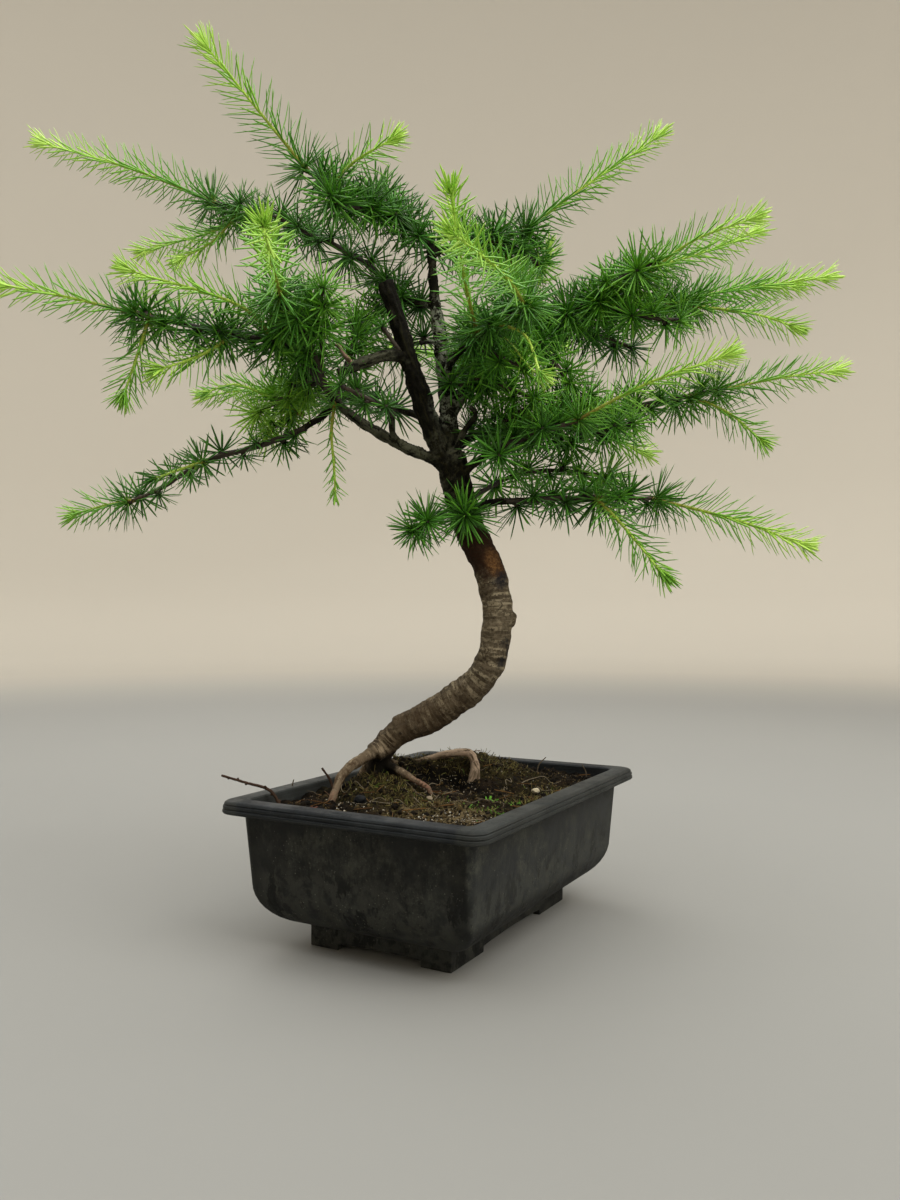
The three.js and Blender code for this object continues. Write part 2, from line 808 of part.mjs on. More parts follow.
// A three-sided stem in bands, each turned by a sixth of a turn from the last; every second band is
// short, and its faces carry the needles of one whorl.
function leafyShoot(shoot) {
  const { curve, radiusAt } = stems.get(shoot.name);
  const length = curve.getLength();
  const whorls = Math.round(length / SHOOT.whorlSpacing);
  const pitch = length / whorls;
  const marks = [0];
  for (let whorl = 0; whorl < whorls; whorl += 1) {
    const end = (whorl + 1) * pitch;
    marks.push(end - SHOOT.whorlBand, end);
  }
  const sections = Math.round(length);
  const frames = curve.computeFrenetFrames(sections, false);
  const surface = new Surface();
  const rings = marks.map((mark, level) => {
    const u = Math.min(1, mark / length);
    const frame = Math.round(u * sections);
    const phase = (level * TURN) / (2 * SHOOT.sides);
    const ring = ringRound(
      curve.getPointAt(u),
      frames.normals[frame],
      frames.binormals[frame],
      () => radiusAt(u),
      SHOOT.sides,
      phase,
    );
    return ring.map((place) => surface.point(place));
  });
  surface.face(rings[0][0], rings[0][2], rings[0][1]);
  for (let level = 0; level + 1 < rings.length; level += 1) {
    shootBand(surface, rings[level], rings[level + 1], level, marks[level] / length, curve, shoot.name);
  }
  const last = rings[rings.length - 1];
  const tangent = curve.getTangentAt(1);
  const bud = curve.getPointAt(1).addScaledVector(tangent, SHOOT.tipNeedle);
  const apex = surface.point(bud);
  keep(curve.getPointAt(1), bud, SHOOT.coreTip, 0, shoot.name);
  last.forEach((index, step) => surface.face(index, last[(step + 1) % last.length], apex));
  return surface.geometry();
}

function shootBand(surface, lower, upper, level, u, curve, owner) {
  const carriesNeedles = level % 2 === 1;
  const whorl = (level - 1) / 2;
  const tangent = curve.getTangentAt(u);
  const centre = curve.getPointAt(u);
  for (let side = 0; side < SHOOT.sides; side += 1) {
    const next = (side + 1) % SHOOT.sides;
    const faces = [
      [lower[side], lower[next], upper[side]],
      [upper[side], lower[next], upper[next]],
    ];
    faces.forEach((corners, half) => {
      const bare = (side * 2 + half + whorl) % 3 === 0;
      if (!carriesNeedles || bare) {
        surface.face(...corners);
        return;
      }
      const outward = new THREE.Vector3();
      corners.forEach((corner) => outward.add(surface.at(corner)));
      outward.divideScalar(3).sub(centre);
      outward.addScaledVector(tangent, -outward.dot(tangent)).normalize();
      const spread = THREE.MathUtils.lerp(SHOOT.spreadAtBase, SHOOT.spreadAtTip, u ** 3);
      const direction = outward.multiplyScalar(Math.sin(spread));
      direction.addScaledVector(tangent, Math.cos(spread)).add(jitter(SHOOT.jitter)).normalize();
      const plain = THREE.MathUtils.lerp(SHOOT.needle, SHOOT.tipNeedle, u ** 2);
      const needle = plain * between(...SHOOT.needleSpread);
      raiseNeedle(surface, corners, direction, needle, SHOOT.needleRadius, owner, `${owner}/${whorl}`);
    });
  }
}

// Pot ---------------------------------------------------------------------------------------------------

// A rounded rectangle, lying inset from the rim's outer edge, as a ring of points.
function potRing(inset, heightAt, corner, scale = 1, stepsLong = 1, stepsShort = 1) {
  const halfX = POT.length / 2 - inset;
  const halfY = POT.width / 2 - inset;
  const centres = [
    [halfX - corner, -(halfY - corner), -TURN / 4, stepsShort],
    [halfX - corner, halfY - corner, 0, stepsLong],
    [-(halfX - corner), halfY - corner, TURN / 4, stepsShort],
    [-(halfX - corner), -(halfY - corner), TURN / 2, stepsLong],
  ];
  const outline = [];
  centres.forEach(([x, y, from, steps], index) => {
    const arc = [];
    for (let step = 0; step <= POT.cornerSteps; step += 1) {
      const angle = from + (step / POT.cornerSteps) * (TURN / 4);
      arc.push([x + corner * Math.cos(angle), y + corner * Math.sin(angle)]);
    }
    outline.push(...arc);
    const [nextX, nextY, nextFrom] = centres[(index + 1) % centres.length];
    const last = arc[arc.length - 1];
    const next = [nextX + corner * Math.cos(nextFrom), nextY + corner * Math.sin(nextFrom)];
    for (let step = 1; step < steps; step += 1) {
      const share = step / steps;
      outline.push([last[0] + (next[0] - last[0]) * share, last[1] + (next[1] - last[1]) * share]);
    }
  });
  return outline.map(([x, y]) => new THREE.Vector3(x * scale, y * scale, heightAt(x * scale, y * scale)));
}

// The curve from the wall into the belly, from the floor up, as [inset, height] pairs.
function bellyCurve(inset, centreHeight, radius) {
  const pairs = [];
  for (let step = 0; step < POT.bellySteps; step += 1) {
    const angle = (1 - step / POT.bellySteps) * (TURN / 4);
    pairs.push([inset + radius * (1 - Math.cos(angle)), centreHeight - radius * Math.sin(angle)]);
  }
  return pairs;
}

const bellyCentre = POT.floorBottom + POT.bellyRadius;
const wallFoot = POT.wallInset + POT.wallLean;
const rimUnder = POT.height - POT.rimDrop;

function rimProfile() {
  const top = POT.height;
  return [
    [1.2, rimUnder],
    [0, rimUnder + 1],
    [0, top - 5.4],
    [0.7, top - 4.8],
    [0.2, top - 4],
    [0.4, top - 2.4],
    [1, top - 1.9],
    [1.4, top - 0.6],
    [2.4, top],
    [POT.wallInset + 1.1, top],
    [POT.wallInset + 2.4, top - 0.8],
  ];
}

function potBody() {
  const outside = [
    ...bellyCurve(wallFoot, bellyCentre, POT.bellyRadius),
    [wallFoot, bellyCentre],
    [POT.wallInset, rimUnder],
  ];
  const innerRadius = bellyCentre - POT.floorTop;
  const inside = [
    ...bellyCurve(wallFoot + POT.wallThickness, bellyCentre, innerRadius),
    [wallFoot + POT.wallThickness, bellyCentre],
    [POT.wallInset + POT.wallThickness, rimUnder],
  ];
  const profile = [...outside, ...rimProfile(), ...inside.reverse()];
  return loft(profile.map(([inset, height]) => potRing(inset, () => height, POT.rimCorner)));
}

function roundedOutline(halfX, halfY, corner) {
  const outline = new THREE.Shape();
  outline.moveTo(-halfX + corner, -halfY);
  outline.lineTo(halfX - corner, -halfY);
  outline.absarc(halfX - corner, -halfY + corner, corner, -TURN / 4, 0);
  outline.absarc(halfX - corner, halfY - corner, corner, 0, TURN / 4);
  outline.absarc(-halfX + corner, halfY - corner, corner, TURN / 4, TURN / 2);
  outline.absarc(-halfX + corner, -halfY + corner, corner, TURN / 2, (TURN * 3) / 4);
  return outline;
}

function footSkirt() {
  const halfX = POT.length / 2 - FEET.inset;
  const halfY = POT.width / 2 - FEET.inset;
  const outline = roundedOutline(halfX, halfY, FEET.corner);
  outline.holes.push(roundedOutline(halfX - FEET.thickness, halfY - FEET.thickness, 1));
  return new THREE.ExtrudeGeometry(outline, {
    depth: POT.floorBottom + FEET.sunk,
    bevelEnabled: false,
    curveSegments: POT.cornerSteps,
  });
}

// The opening between two feet, seen along the side: straight ends under a shallow arch.
function footArch(halfSpan, reach) {
  const opening = new THREE.Shape();
  opening.moveTo(-halfSpan, -1);
  opening.lineTo(halfSpan, -1);
  opening.lineTo(halfSpan, FEET.archClear - FEET.archRise);
  opening.quadraticCurveTo(0, FEET.archClear + FEET.archRise, -halfSpan, FEET.archClear - FEET.archRise);
  const tool = new THREE.ExtrudeGeometry(opening, {
    depth: 2 * reach,
    bevelEnabled: false,
    curveSegments: FEET.archSteps,
  });
  tool.translate(0, 0, -reach);
  tool.rotateX(TURN / 4);
  return tool;
}

function drainHole(x) {
  const height = POT.floorTop - POT.floorBottom + 2 * DRAIN.reach;
  const tool = new THREE.CylinderGeometry(DRAIN.radius, DRAIN.radius, height, DRAIN.sides);
  tool.rotateX(TURN / 4);
  tool.translate(x, 0, (POT.floorTop + POT.floorBottom) / 2);
  return tool;
}

function potGeometry() {
  const alongX = footArch(POT.length / 2 - FEET.inset - FEET.lengthAlongX, POT.width);
  const alongY = footArch(POT.width / 2 - FEET.inset - FEET.lengthAlongY, POT.length);
  alongY.rotateZ(TURN / 4);
  const feet = cut(solidFrom(footSkirt()), [alongX, alongY]);
  const holes = [drainHole(-DRAIN.spacing / 2), drainHole(DRAIN.spacing / 2)];
  return geometryFrom(cut(solidFrom(potBody()).add(feet), holes));
}

// Soil --------------------------------------------------------------------------------------------------

function treePlace(x, y) {
  return new THREE.Vector2(x, y).rotateAround(new THREE.Vector2(), -TREE_TURN);
}

function soilHeight(x, y) {
  const place = treePlace(x, y);
  const ripples = Math.sin(x / SOIL.rippleLength) * Math.cos((y + x / 2) / SOIL.rippleLength);
  return MOUNDS.reduce((height, mound) => {
    const square = (place.x - mound.x) ** 2 + (place.y - mound.y) ** 2;
    return height + mound.height * Math.exp(-square / (2 * mound.spread ** 2));
  }, SOIL.edgeHeight + SOIL.ripple * ripples);
}

function soilBlock() {
  const inset = wallFoot + POT.wallThickness + GAP;
  const radius = bellyCentre - POT.floorTop - GAP;
  const edgeInset = POT.wallInset + POT.wallThickness + GAP;
  const corner = POT.rimCorner;
  const side = [...bellyCurve(inset, bellyCentre, radius), [inset, bellyCentre]];
  const steps = [SOIL.sideStepsLong, SOIL.sideStepsShort];
  const rings = side.map(([ringInset, height]) => potRing(ringInset, () => height, corner, 1, ...steps));
  SOIL.topRings.forEach((scale) => rings.push(potRing(edgeInset, soilHeight, corner, scale, ...steps)));
  return loft(rings);
}

function turnedToPot(geometry) {
  return geometry.rotateZ(TREE_TURN);
}

function soilGeometry() {
  const holes = [
    woodTube(TRUNK, TRUNK_SIDES, TRUNK_STEP, HOLE_EXTRA),
    ...ROOTS.map((root) => woodTube(root, WOOD.sides, WOOD.step, HOLE_EXTRA)),
    ...DRY_TWIGS.map((twig) => woodTube(twig, DRY_TWIG_SIDES, DRY_TWIG_STEP, HOLE_EXTRA)),
    ...PEBBLES.map((pebble) => pebbleGeometry(pebble, GAP)),
  ];
  return geometryFrom(cut(solidFrom(soilBlock()), holes.map(turnedToPot)));
}

function pebbleGeometry(pebble, grow = 0) {
  const stone = new THREE.IcosahedronGeometry(pebble.radius + grow, 0);
  stone.scale(...PEBBLE_SHAPE);
  stone.rotateZ(pebble.roll);
  stone.translate(...pebble.place);
  return stone;
}

// Wood --------------------------------------------------------------------------------------------------

function scarGeometry() {
  const scar = new THREE.IcosahedronGeometry(SCAR.radius, 0);
  scar.scale(1, 1, SCAR.squash);
  scar.translate(...SCAR.place);
  return scar;
}

function woodGeometry() {
  return geometryFrom(fuse([
    woodTube(TRUNK, TRUNK_SIDES, TRUNK_STEP),
    ...LEADERS.map((leader) => woodTube(leader, LEADER_SIDES, WOOD.step)),
    ...ROOTS.map((root) => woodTube(root, WOOD.sides, WOOD.step)),
    ...LIMBS.map((limb) => woodTube(limb, WOOD.sides, WOOD.step)),
    scarGeometry(),
  ]));
}

// Keeps the wood's place and lets twigs find the side or the end that they grow from.
function registerWood(piece, sides) {
  const curve = curveThrough(piece.route);
  const swell = 1 + WOOD.bark + WOOD.rings;
  const radiusAt = (u) => THREE.MathUtils.lerp(piece.radii[0], piece.radii[1], u) * swell;
  stems.set(piece.name, { curve, radiusAt, sides });
  keepAlong(curve, radiusAt, WOOD.step, 'tree');
}

// Assembly ----------------------------------------------------------------------------------------------

function piece(name, geometry, finish) {
  const mesh = new THREE.Mesh(geometry, new THREE.MeshStandardMaterial({ ...finish, metalness: 0 }));
  mesh.name = name;
  return mesh;
}

const plant = new THREE.Group();
const tree = new THREE.Group();
tree.rotation.z = TREE_TURN;
plant.add(tree);

plant.add(piece('pot', potGeometry(), FINISH.pot));
plant.add(piece('soil', soilGeometry(), FINISH.soil));
tree.add(piece('tree', woodGeometry(), FINISH.bark));
PEBBLES.forEach((pebble) => tree.add(piece(pebble.name, pebbleGeometry(pebble), FINISH.pebble)));
DRY_TWIGS.forEach((twig) => {
  tree.add(piece(twig.name, woodTube(twig, DRY_TWIG_SIDES, DRY_TWIG_STEP), FINISH.deadTwig));
});

registerWood(TRUNK, TRUNK_SIDES);
LEADERS.forEach((leader) => registerWood(leader, LEADER_SIDES));
[...ROOTS, ...LIMBS].forEach((limb) => registerWood(limb, WOOD.sides));
TWIGS.forEach((twig) => plantStem(twig, twig.radius, TWIG.tipRadius, TWIG.sides, TWIG.step));
SHOOTS.forEach((shoot) => {
  plantStem(shoot, SHOOT.coreStart, SHOOT.coreTip, SHOOT.sides, SHOOT.whorlSpacing);
});
SHOOTS.forEach((shoot) => tree.add(piece(shoot.name, leafyShoot(shoot), FINISH.shoot)));
TWIGS.forEach((twig, order) => tree.add(piece(twig.name, leafyTwig(twig, order), FINISH.rosette)));

plant.updateMatrixWorld(true);
const box = new THREE.Box3().setFromObject(plant, true);
const assembly = new THREE.Group();
plant.position.set(-(box.min.x + box.max.x) / 2, -(box.min.y + box.max.y) / 2, -box.min.z);
assembly.add(plant);

export default assembly;
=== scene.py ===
"""Looks of a larch bonsai in a plastic training pot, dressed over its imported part.

The tree is described in a frame of its own, in millimetres: x to the right, y away from the front and
z up, with its origin on the ground below the middle of the pot. Meshes are in metres, in the part's
frame, where the long side of the pot runs along X.
"""

import logging
import math
from collections.abc import Callable, Iterator, Mapping, Sequence
from contextlib import contextmanager
from dataclasses import dataclass
from enum import Enum

import bmesh
import bpy
import numpy as np
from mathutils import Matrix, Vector, noise
from mathutils.kdtree import KDTree


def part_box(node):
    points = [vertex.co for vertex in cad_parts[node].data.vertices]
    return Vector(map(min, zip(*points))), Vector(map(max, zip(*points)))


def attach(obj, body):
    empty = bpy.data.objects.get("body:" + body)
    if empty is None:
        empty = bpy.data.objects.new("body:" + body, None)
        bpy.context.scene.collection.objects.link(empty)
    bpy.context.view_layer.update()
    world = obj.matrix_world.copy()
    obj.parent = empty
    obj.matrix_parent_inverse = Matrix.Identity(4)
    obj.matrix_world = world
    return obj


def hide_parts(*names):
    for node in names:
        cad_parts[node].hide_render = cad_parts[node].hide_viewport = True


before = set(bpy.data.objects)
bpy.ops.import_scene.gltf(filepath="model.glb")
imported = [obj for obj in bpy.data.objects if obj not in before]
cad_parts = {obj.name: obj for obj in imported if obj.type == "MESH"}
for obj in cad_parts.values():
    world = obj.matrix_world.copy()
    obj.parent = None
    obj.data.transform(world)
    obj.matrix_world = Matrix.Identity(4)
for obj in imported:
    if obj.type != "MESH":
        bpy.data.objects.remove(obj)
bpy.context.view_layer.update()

REPORT = logging.getLogger("larch")
BODY = "root"
MM = 0.001
GOLDEN_ANGLE = math.radians(137.5)
SEED = 20240611
UP = np.array([0.0, 0.0, 1.0])
SCRATCH = (-55.6, -120.6, 90.0)
NEEDLE_WIDTH = 1.22
NEEDLE_FLATNESS = 0.5

Array = np.ndarray
Chance = np.random.Generator
Point = tuple[float, float, float]
Pair = tuple[float, float]
Pairs = Sequence[Pair]
Stops = Sequence[tuple[float, str]]
Source = bpy.types.NodeSocket
Skin = bpy.types.Material
Piece = bpy.types.Object


class Slot(Enum):
    """The record's material slots."""

    POT = "pot_plastic"
    SOIL = "soil"
    BARK = "bark"
    OLD_NEEDLES = "old_needles"
    NEW_NEEDLES = "new_needles"
    STONE = "stone"
    DEAD_WOOD = "dead_wood"


# Frames and courses ------------------------


class TreeFrame:
    """The frame in which the tree is described, and its place in the part."""

    def __init__(self, turn: float) -> None:
        """Finds the middle of the pot in the part's frame.

        Args:
            turn: Angle about Z, in radians, from the part's frame to the tree's.
        """
        low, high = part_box("pot")
        self.middle = np.array([(low.x + high.x) / 2, (low.y + high.y) / 2, 0.0])
        cos, sin = math.cos(turn), math.sin(turn)
        self.turning = np.array([[cos, -sin, 0.0], [sin, cos, 0.0], [0.0, 0.0, 1.0]])

    def place(self, points: Sequence[float] | Array) -> Array:
        """Puts points of the tree's frame, in millimetres, into the part's, in metres."""
        return self.middle + np.asarray(points, float) @ self.turning.T * MM

    def heading(self, way: Sequence[float]) -> Array:
        """Turns a direction of the tree's frame into the part's."""
        return np.asarray(way, float) @ self.turning.T

    def point(self, places: Array) -> Array:
        """Gives the tree's points, in millimetres, for places of the part's frame."""
        return (np.asarray(places) - self.middle) @ self.turning / MM


TREE = TreeFrame(math.radians(-60.9))


def unit(ways: Array) -> Array:
    """Scales directions to a length of one."""
    return ways / np.linalg.norm(ways, axis=-1, keepdims=True)


def around(turns: Array, first: Array, second: Array) -> Array:
    """Gives the directions at angles from one direction towards another."""
    return np.cos(turns)[:, None] * first + np.sin(turns)[:, None] * second


def share_between(value: float | Array, low: float, high: float) -> float | Array:
    """Gives 0 below low, 1 above high and an even curve between them."""
    part = np.clip((value - low) / (high - low), 0.0, 1.0)
    return part * part * (3 - 2 * part)


class Course:
    """A smooth course through a few points of the tree's frame, measured along its length."""

    SAMPLES = 24
    EVEN = 0.25
    REACH = 0.01
    UPRIGHT = 0.1

    def __init__(self, points: Sequence[Point] | Array, lead: float = 0.0) -> None:
        """Samples the course.

        Args:
            points: The points that it passes through.
            lead: How far it reaches straight back from the first of them, in millimetres.
        """
        spots = TREE.place(points)
        full = np.vstack([2 * spots[0] - spots[1], spots, 2 * spots[-1] - spots[-2]])
        spans = [self._span(full[first : first + 4]) for first in range(len(spots) - 1)]
        line = np.vstack([*spans, spots[-1:]])
        back = unit(line[0] - line[1]) * lead * MM
        self.line = np.vstack([line[0] + back, line]) if lead else line
        steps = np.linalg.norm(np.diff(self.line, axis=0), axis=1)
        self.marks = np.concatenate([[0.0], np.cumsum(steps)])
        self.length = float(self.marks[-1])

    def _span(self, four: Array) -> Array:
        """Samples the curve between the middle two of four points.

        Args:
            four: The points.

        Returns:
            Places on the curve.
        """
        gaps = [float(((four[i + 1] - four[i]) ** 2).sum()) ** self.EVEN for i in range(3)]
        begin = (four[1] - four[0]) / gaps[0] - (four[2] - four[0]) / (gaps[0] + gaps[1])
        begin = (begin + (four[2] - four[1]) / gaps[1]) * gaps[1]
        end = (four[2] - four[1]) / gaps[1] - (four[3] - four[1]) / (gaps[1] + gaps[2])
        end = (end + (four[3] - four[2]) / gaps[2]) * gaps[1]
        t = (np.arange(self.SAMPLES) / self.SAMPLES)[:, None]
        square = -3 * four[1] + 3 * four[2] - 2 * begin - end
        cube = 2 * four[1] - 2 * four[2] + begin + end
        return four[1] + begin * t + square * t**2 + cube * t**3

    def at(self, far: float | Array) -> Array:
        """Gives the places at distances along the course, in metres."""
        return np.stack([np.interp(far, self.marks, self.line[:, axis]) for axis in range(3)], axis=-1)

    def heading(self, far: float | Array) -> Array:
        """Gives the course's directions.

        Args:
            far: Distances along it, in metres.

        Returns:
            A direction for each.
        """
        step = self.length * self.REACH
        ahead = self.at(np.minimum(np.asarray(far) + step, self.length))
        return unit(ahead - self.at(np.maximum(np.asarray(far) - step, 0.0)))

    def frames(self, far: Array) -> tuple[Array, Array, Array]:
        """Carries a cross frame along the course without twisting it.

        Args:
            far: Rising distances along the course.

        Returns:
            The headings and the two cross directions at each distance.
        """
        headings = self.heading(far)
        first = np.cross(UP, headings[0])
        if np.linalg.norm(first) < self.UPRIGHT:
            first = np.cross([1.0, 0.0, 0.0], headings[0])
        sides = [unit(first)]
        for heading in headings[1:]:
            sides.append(unit(sides[-1] - heading * float(sides[-1] @ heading)))
        return headings, np.array(sides), np.cross(headings, np.array(sides))


# Materials ------------------------


def paint(code: str) -> tuple[float, float, float, float]:
    """Gives the linear colour of a code.

    Args:
        code: A hexadecimal code such as "33291f".

    Returns:
        Red, green, blue and alpha.
    """
    parts = [int(code[i : i + 2], 16) / 255 for i in (0, 2, 4)]
    linear = [p / 12.92 if p <= 0.04045 else ((p + 0.055) / 1.055) ** 2.4 for p in parts]
    return (*linear, 1.0)


class Amount:
    """A number in a material. Arithmetic on it adds Math nodes."""

    def __init__(self, dye: "Dye", source: Source) -> None:
        """Wraps a socket of a material's nodes."""
        self.dye = dye
        self.source = source

    def _maths(self, operation: str, first: "Amount | float", second: "Amount | float") -> "Amount":
        """Adds a Math node and gives its result."""
        made = self.dye.node("ShaderNodeMath", {0: first, 1: second}, operation=operation)
        return Amount(self.dye, made.outputs[0])

    def __add__(self, other: "Amount | float") -> "Amount":
        """Adds."""
        return self._maths("ADD", self, other)

    __radd__ = __add__

    def __mul__(self, other: "Amount | float") -> "Amount":
        """Multiplies."""
        return self._maths("MULTIPLY", self, other)

    __rmul__ = __mul__

    def __sub__(self, other: "Amount | float") -> "Amount":
        """Subtracts."""
        return self._maths("SUBTRACT", self, other)

    def __rsub__(self, other: "Amount | float") -> "Amount":
        """Subtracts this from another."""
        return self._maths("SUBTRACT", other, self)

    def at_least(self, other: "Amount | float") -> "Amount":
        """Gives the larger of two."""
        return self._maths("MAXIMUM", self, other)

    def step(self, low: float, high: float) -> "Amount":
        """Turns the number into a share.

        Args:
            low: Where the share is 0. It may be the larger of the two.
            high: Where it is 1, with an even curve between them.

        Returns:
            The share.
        """
        inputs = {"Value": self, "From Min": low, "From Max": high}
        made = self.dye.node("ShaderNodeMapRange", inputs, interpolation_type="SMOOTHSTEP")
        return Amount(self.dye, made.outputs["Result"])


class Dye:
    """Builds the nodes of one material."""

    PLAIN_SHINE = 0.5

    def __init__(self, name: str) -> None:
        """Starts an empty material.

        Args:
            name: The material's name.
        """
        self.material = bpy.data.materials.new(name)
        self.material.use_nodes = True
        self.tree = self.material.node_tree
        self.tree.nodes.clear()

    def node(self, kind: str, inputs: Mapping[str | int, object] | None = None, **settings: object) -> bpy.types.Node:
        """Adds a node.

        Args:
            kind: Its type.
            inputs: Values or links of its sockets, by number, identifier or name.
            settings: What it is set to first. Stops are a ramp's places and colour codes.

        Returns:
            The node.
        """
        made = self.tree.nodes.new(kind)
        for name, value in settings.items():
            if name == "stops":
                self._set_stops(made.color_ramp.elements, value)
            else:
                setattr(made, name, value)
        for key, value in (inputs or {}).items():
            socket = made.inputs[key] if isinstance(key, int) else self._named(made, key)
            source = value.source if isinstance(value, Amount) else value
            if isinstance(source, bpy.types.NodeSocket):
                self.tree.links.new(source, socket)
            else:
                socket.default_value = source
        return made

    @staticmethod
    def _named(made: bpy.types.Node, key: str) -> Source:
        """Finds an input by its identifier, or else by its name."""
        found = [socket for socket in made.inputs if socket.identifier == key]
        return found[0] if found else made.inputs[key]

    @staticmethod
    def _set_stops(elements: bpy.types.ColorRampElements, stops: Stops) -> None:
        """Sets the stops of a ramp.

        Args:
            elements: The stops that it starts with.
            stops: Place and colour code of each stop.
        """
        while len(elements) < len(stops):
            elements.new(1.0)
        for element, (place, code) in zip(elements, stops, strict=True):
            element.position, element.color = place, paint(code)

    def place(self) -> Source:
        """Gives the place on the piece, in metres."""
        return self.node("ShaderNodeTexCoord").outputs["Object"]

    def attribute(self, name: str) -> Source:
        """Gives a vector kept in the mesh."""
        return self.node("ShaderNodeAttribute", attribute_name=name).outputs["Vector"]

    def parts(self, vector: Source) -> tuple[Amount, Amount, Amount]:
        """Splits a vector into its three numbers."""
        made = self.node("ShaderNodeSeparateXYZ", {0: vector})
        return tuple(Amount(self, output) for output in made.outputs)

    def stretch(self, vector: Source, by: Point) -> Source:
        """Scales a vector by a number along each axis."""
        return self.node("ShaderNodeVectorMath", {0: vector, 1: by}, operation="MULTIPLY").outputs[0]

    def distance(self, vector: Source, spot: Sequence[float]) -> Amount:
        """Gives the distance from a spot, in metres."""
        made = self.node("ShaderNodeVectorMath", {0: vector, 1: tuple(spot)}, operation="DISTANCE")
        return Amount(self, made.outputs["Value"])

    def _scaled(self, vector: Source, scale: float | Point) -> dict[str, object]:
        """Gives a texture's vector and scale, with the vector stretched where the scale has three numbers."""
        stretched = isinstance(scale, tuple)
        return {"Vector": self.stretch(vector, scale) if stretched else vector, "Scale": 1.0 if stretched else scale}

    def noise(self, vector: Source, scale: float | Point, detail: float = 3.0, rough: float = 0.55) -> Amount:
        """Gives cloudy noise about 0.5, with scale lumps in one unit of the vector, or of each of its axes."""
        inputs = {**self._scaled(vector, scale), "Detail": detail, "Roughness": rough}
        return Amount(self, self.node("ShaderNodeTexNoise", inputs).outputs["Fac"])

    def cells(self, vector: Source, scale: float | Point) -> Amount:
        """Gives the distance to the nearest of many scattered spots, in cells."""
        made = self.node("ShaderNodeTexVoronoi", self._scaled(vector, scale))
        return Amount(self, made.outputs["Distance"])

    def ramp(self, amount: Amount, stops: Stops) -> Source:
        """Turns a number into a colour of a ramp."""
        return self.node("ShaderNodeValToRGB", {0: amount}, stops=stops).outputs["Color"]

    def mix(self, share: Amount | float, first: Source | str, second: Source | str) -> Source:
        """Mixes two colours.

        Args:
            share: How much of the second there is.
            first: A colour's socket or its code.
            second: A colour's socket or its code.

        Returns:
            The mixed colour.
        """
        sides = [paint(side) if isinstance(side, str) else side for side in (first, second)]
        inputs = {"Factor_Float": share, "A_Color": sides[0], "B_Color": sides[1]}
        made = self.node("ShaderNodeMix", inputs, data_type="RGBA")
        return next(output for output in made.outputs if output.identifier == "Result_Color")

    def coats(self, colour: Source | str, *coats: tuple[Amount | float, Source | str]) -> Source:
        """Lays coats of colour over one another.

        Args:
            colour: The lowest colour.
            coats: Share and colour of each coat, from the lowest.

        Returns:
            The mixed colour.
        """
        for share, coat in coats:
            colour = self.mix(share, colour, coat)
        return colour

    def bump(self, height: Amount, depth: float, strength: float) -> Source:
        """Turns a height, in parts of a depth in metres, into a normal."""
        inputs = {"Height": height, "Distance": depth, "Strength": strength}
        return self.node("ShaderNodeBump", inputs).outputs["Normal"]

    def surface(
        self, colour: Source, roughness: Amount | float, normal: Source | None = None, shine: float = PLAIN_SHINE
    ) -> Skin:
        """Ends the material with its surface.

        Args:
            colour: Its colour.
            roughness: Its roughness.
            normal: Its bumps, if it has any.
            shine: How strongly it reflects.

        Returns:
            The material.
        """
        inputs = {"Base Color": colour, "Roughness": roughness, "Specular IOR Level": shine}
        if normal is not None:
            inputs["Normal"] = normal
        shader = self.node("ShaderNodeBsdfPrincipled", inputs)
        self.node("ShaderNodeOutputMaterial", {"Surface": shader.outputs[0]})
        return self.material


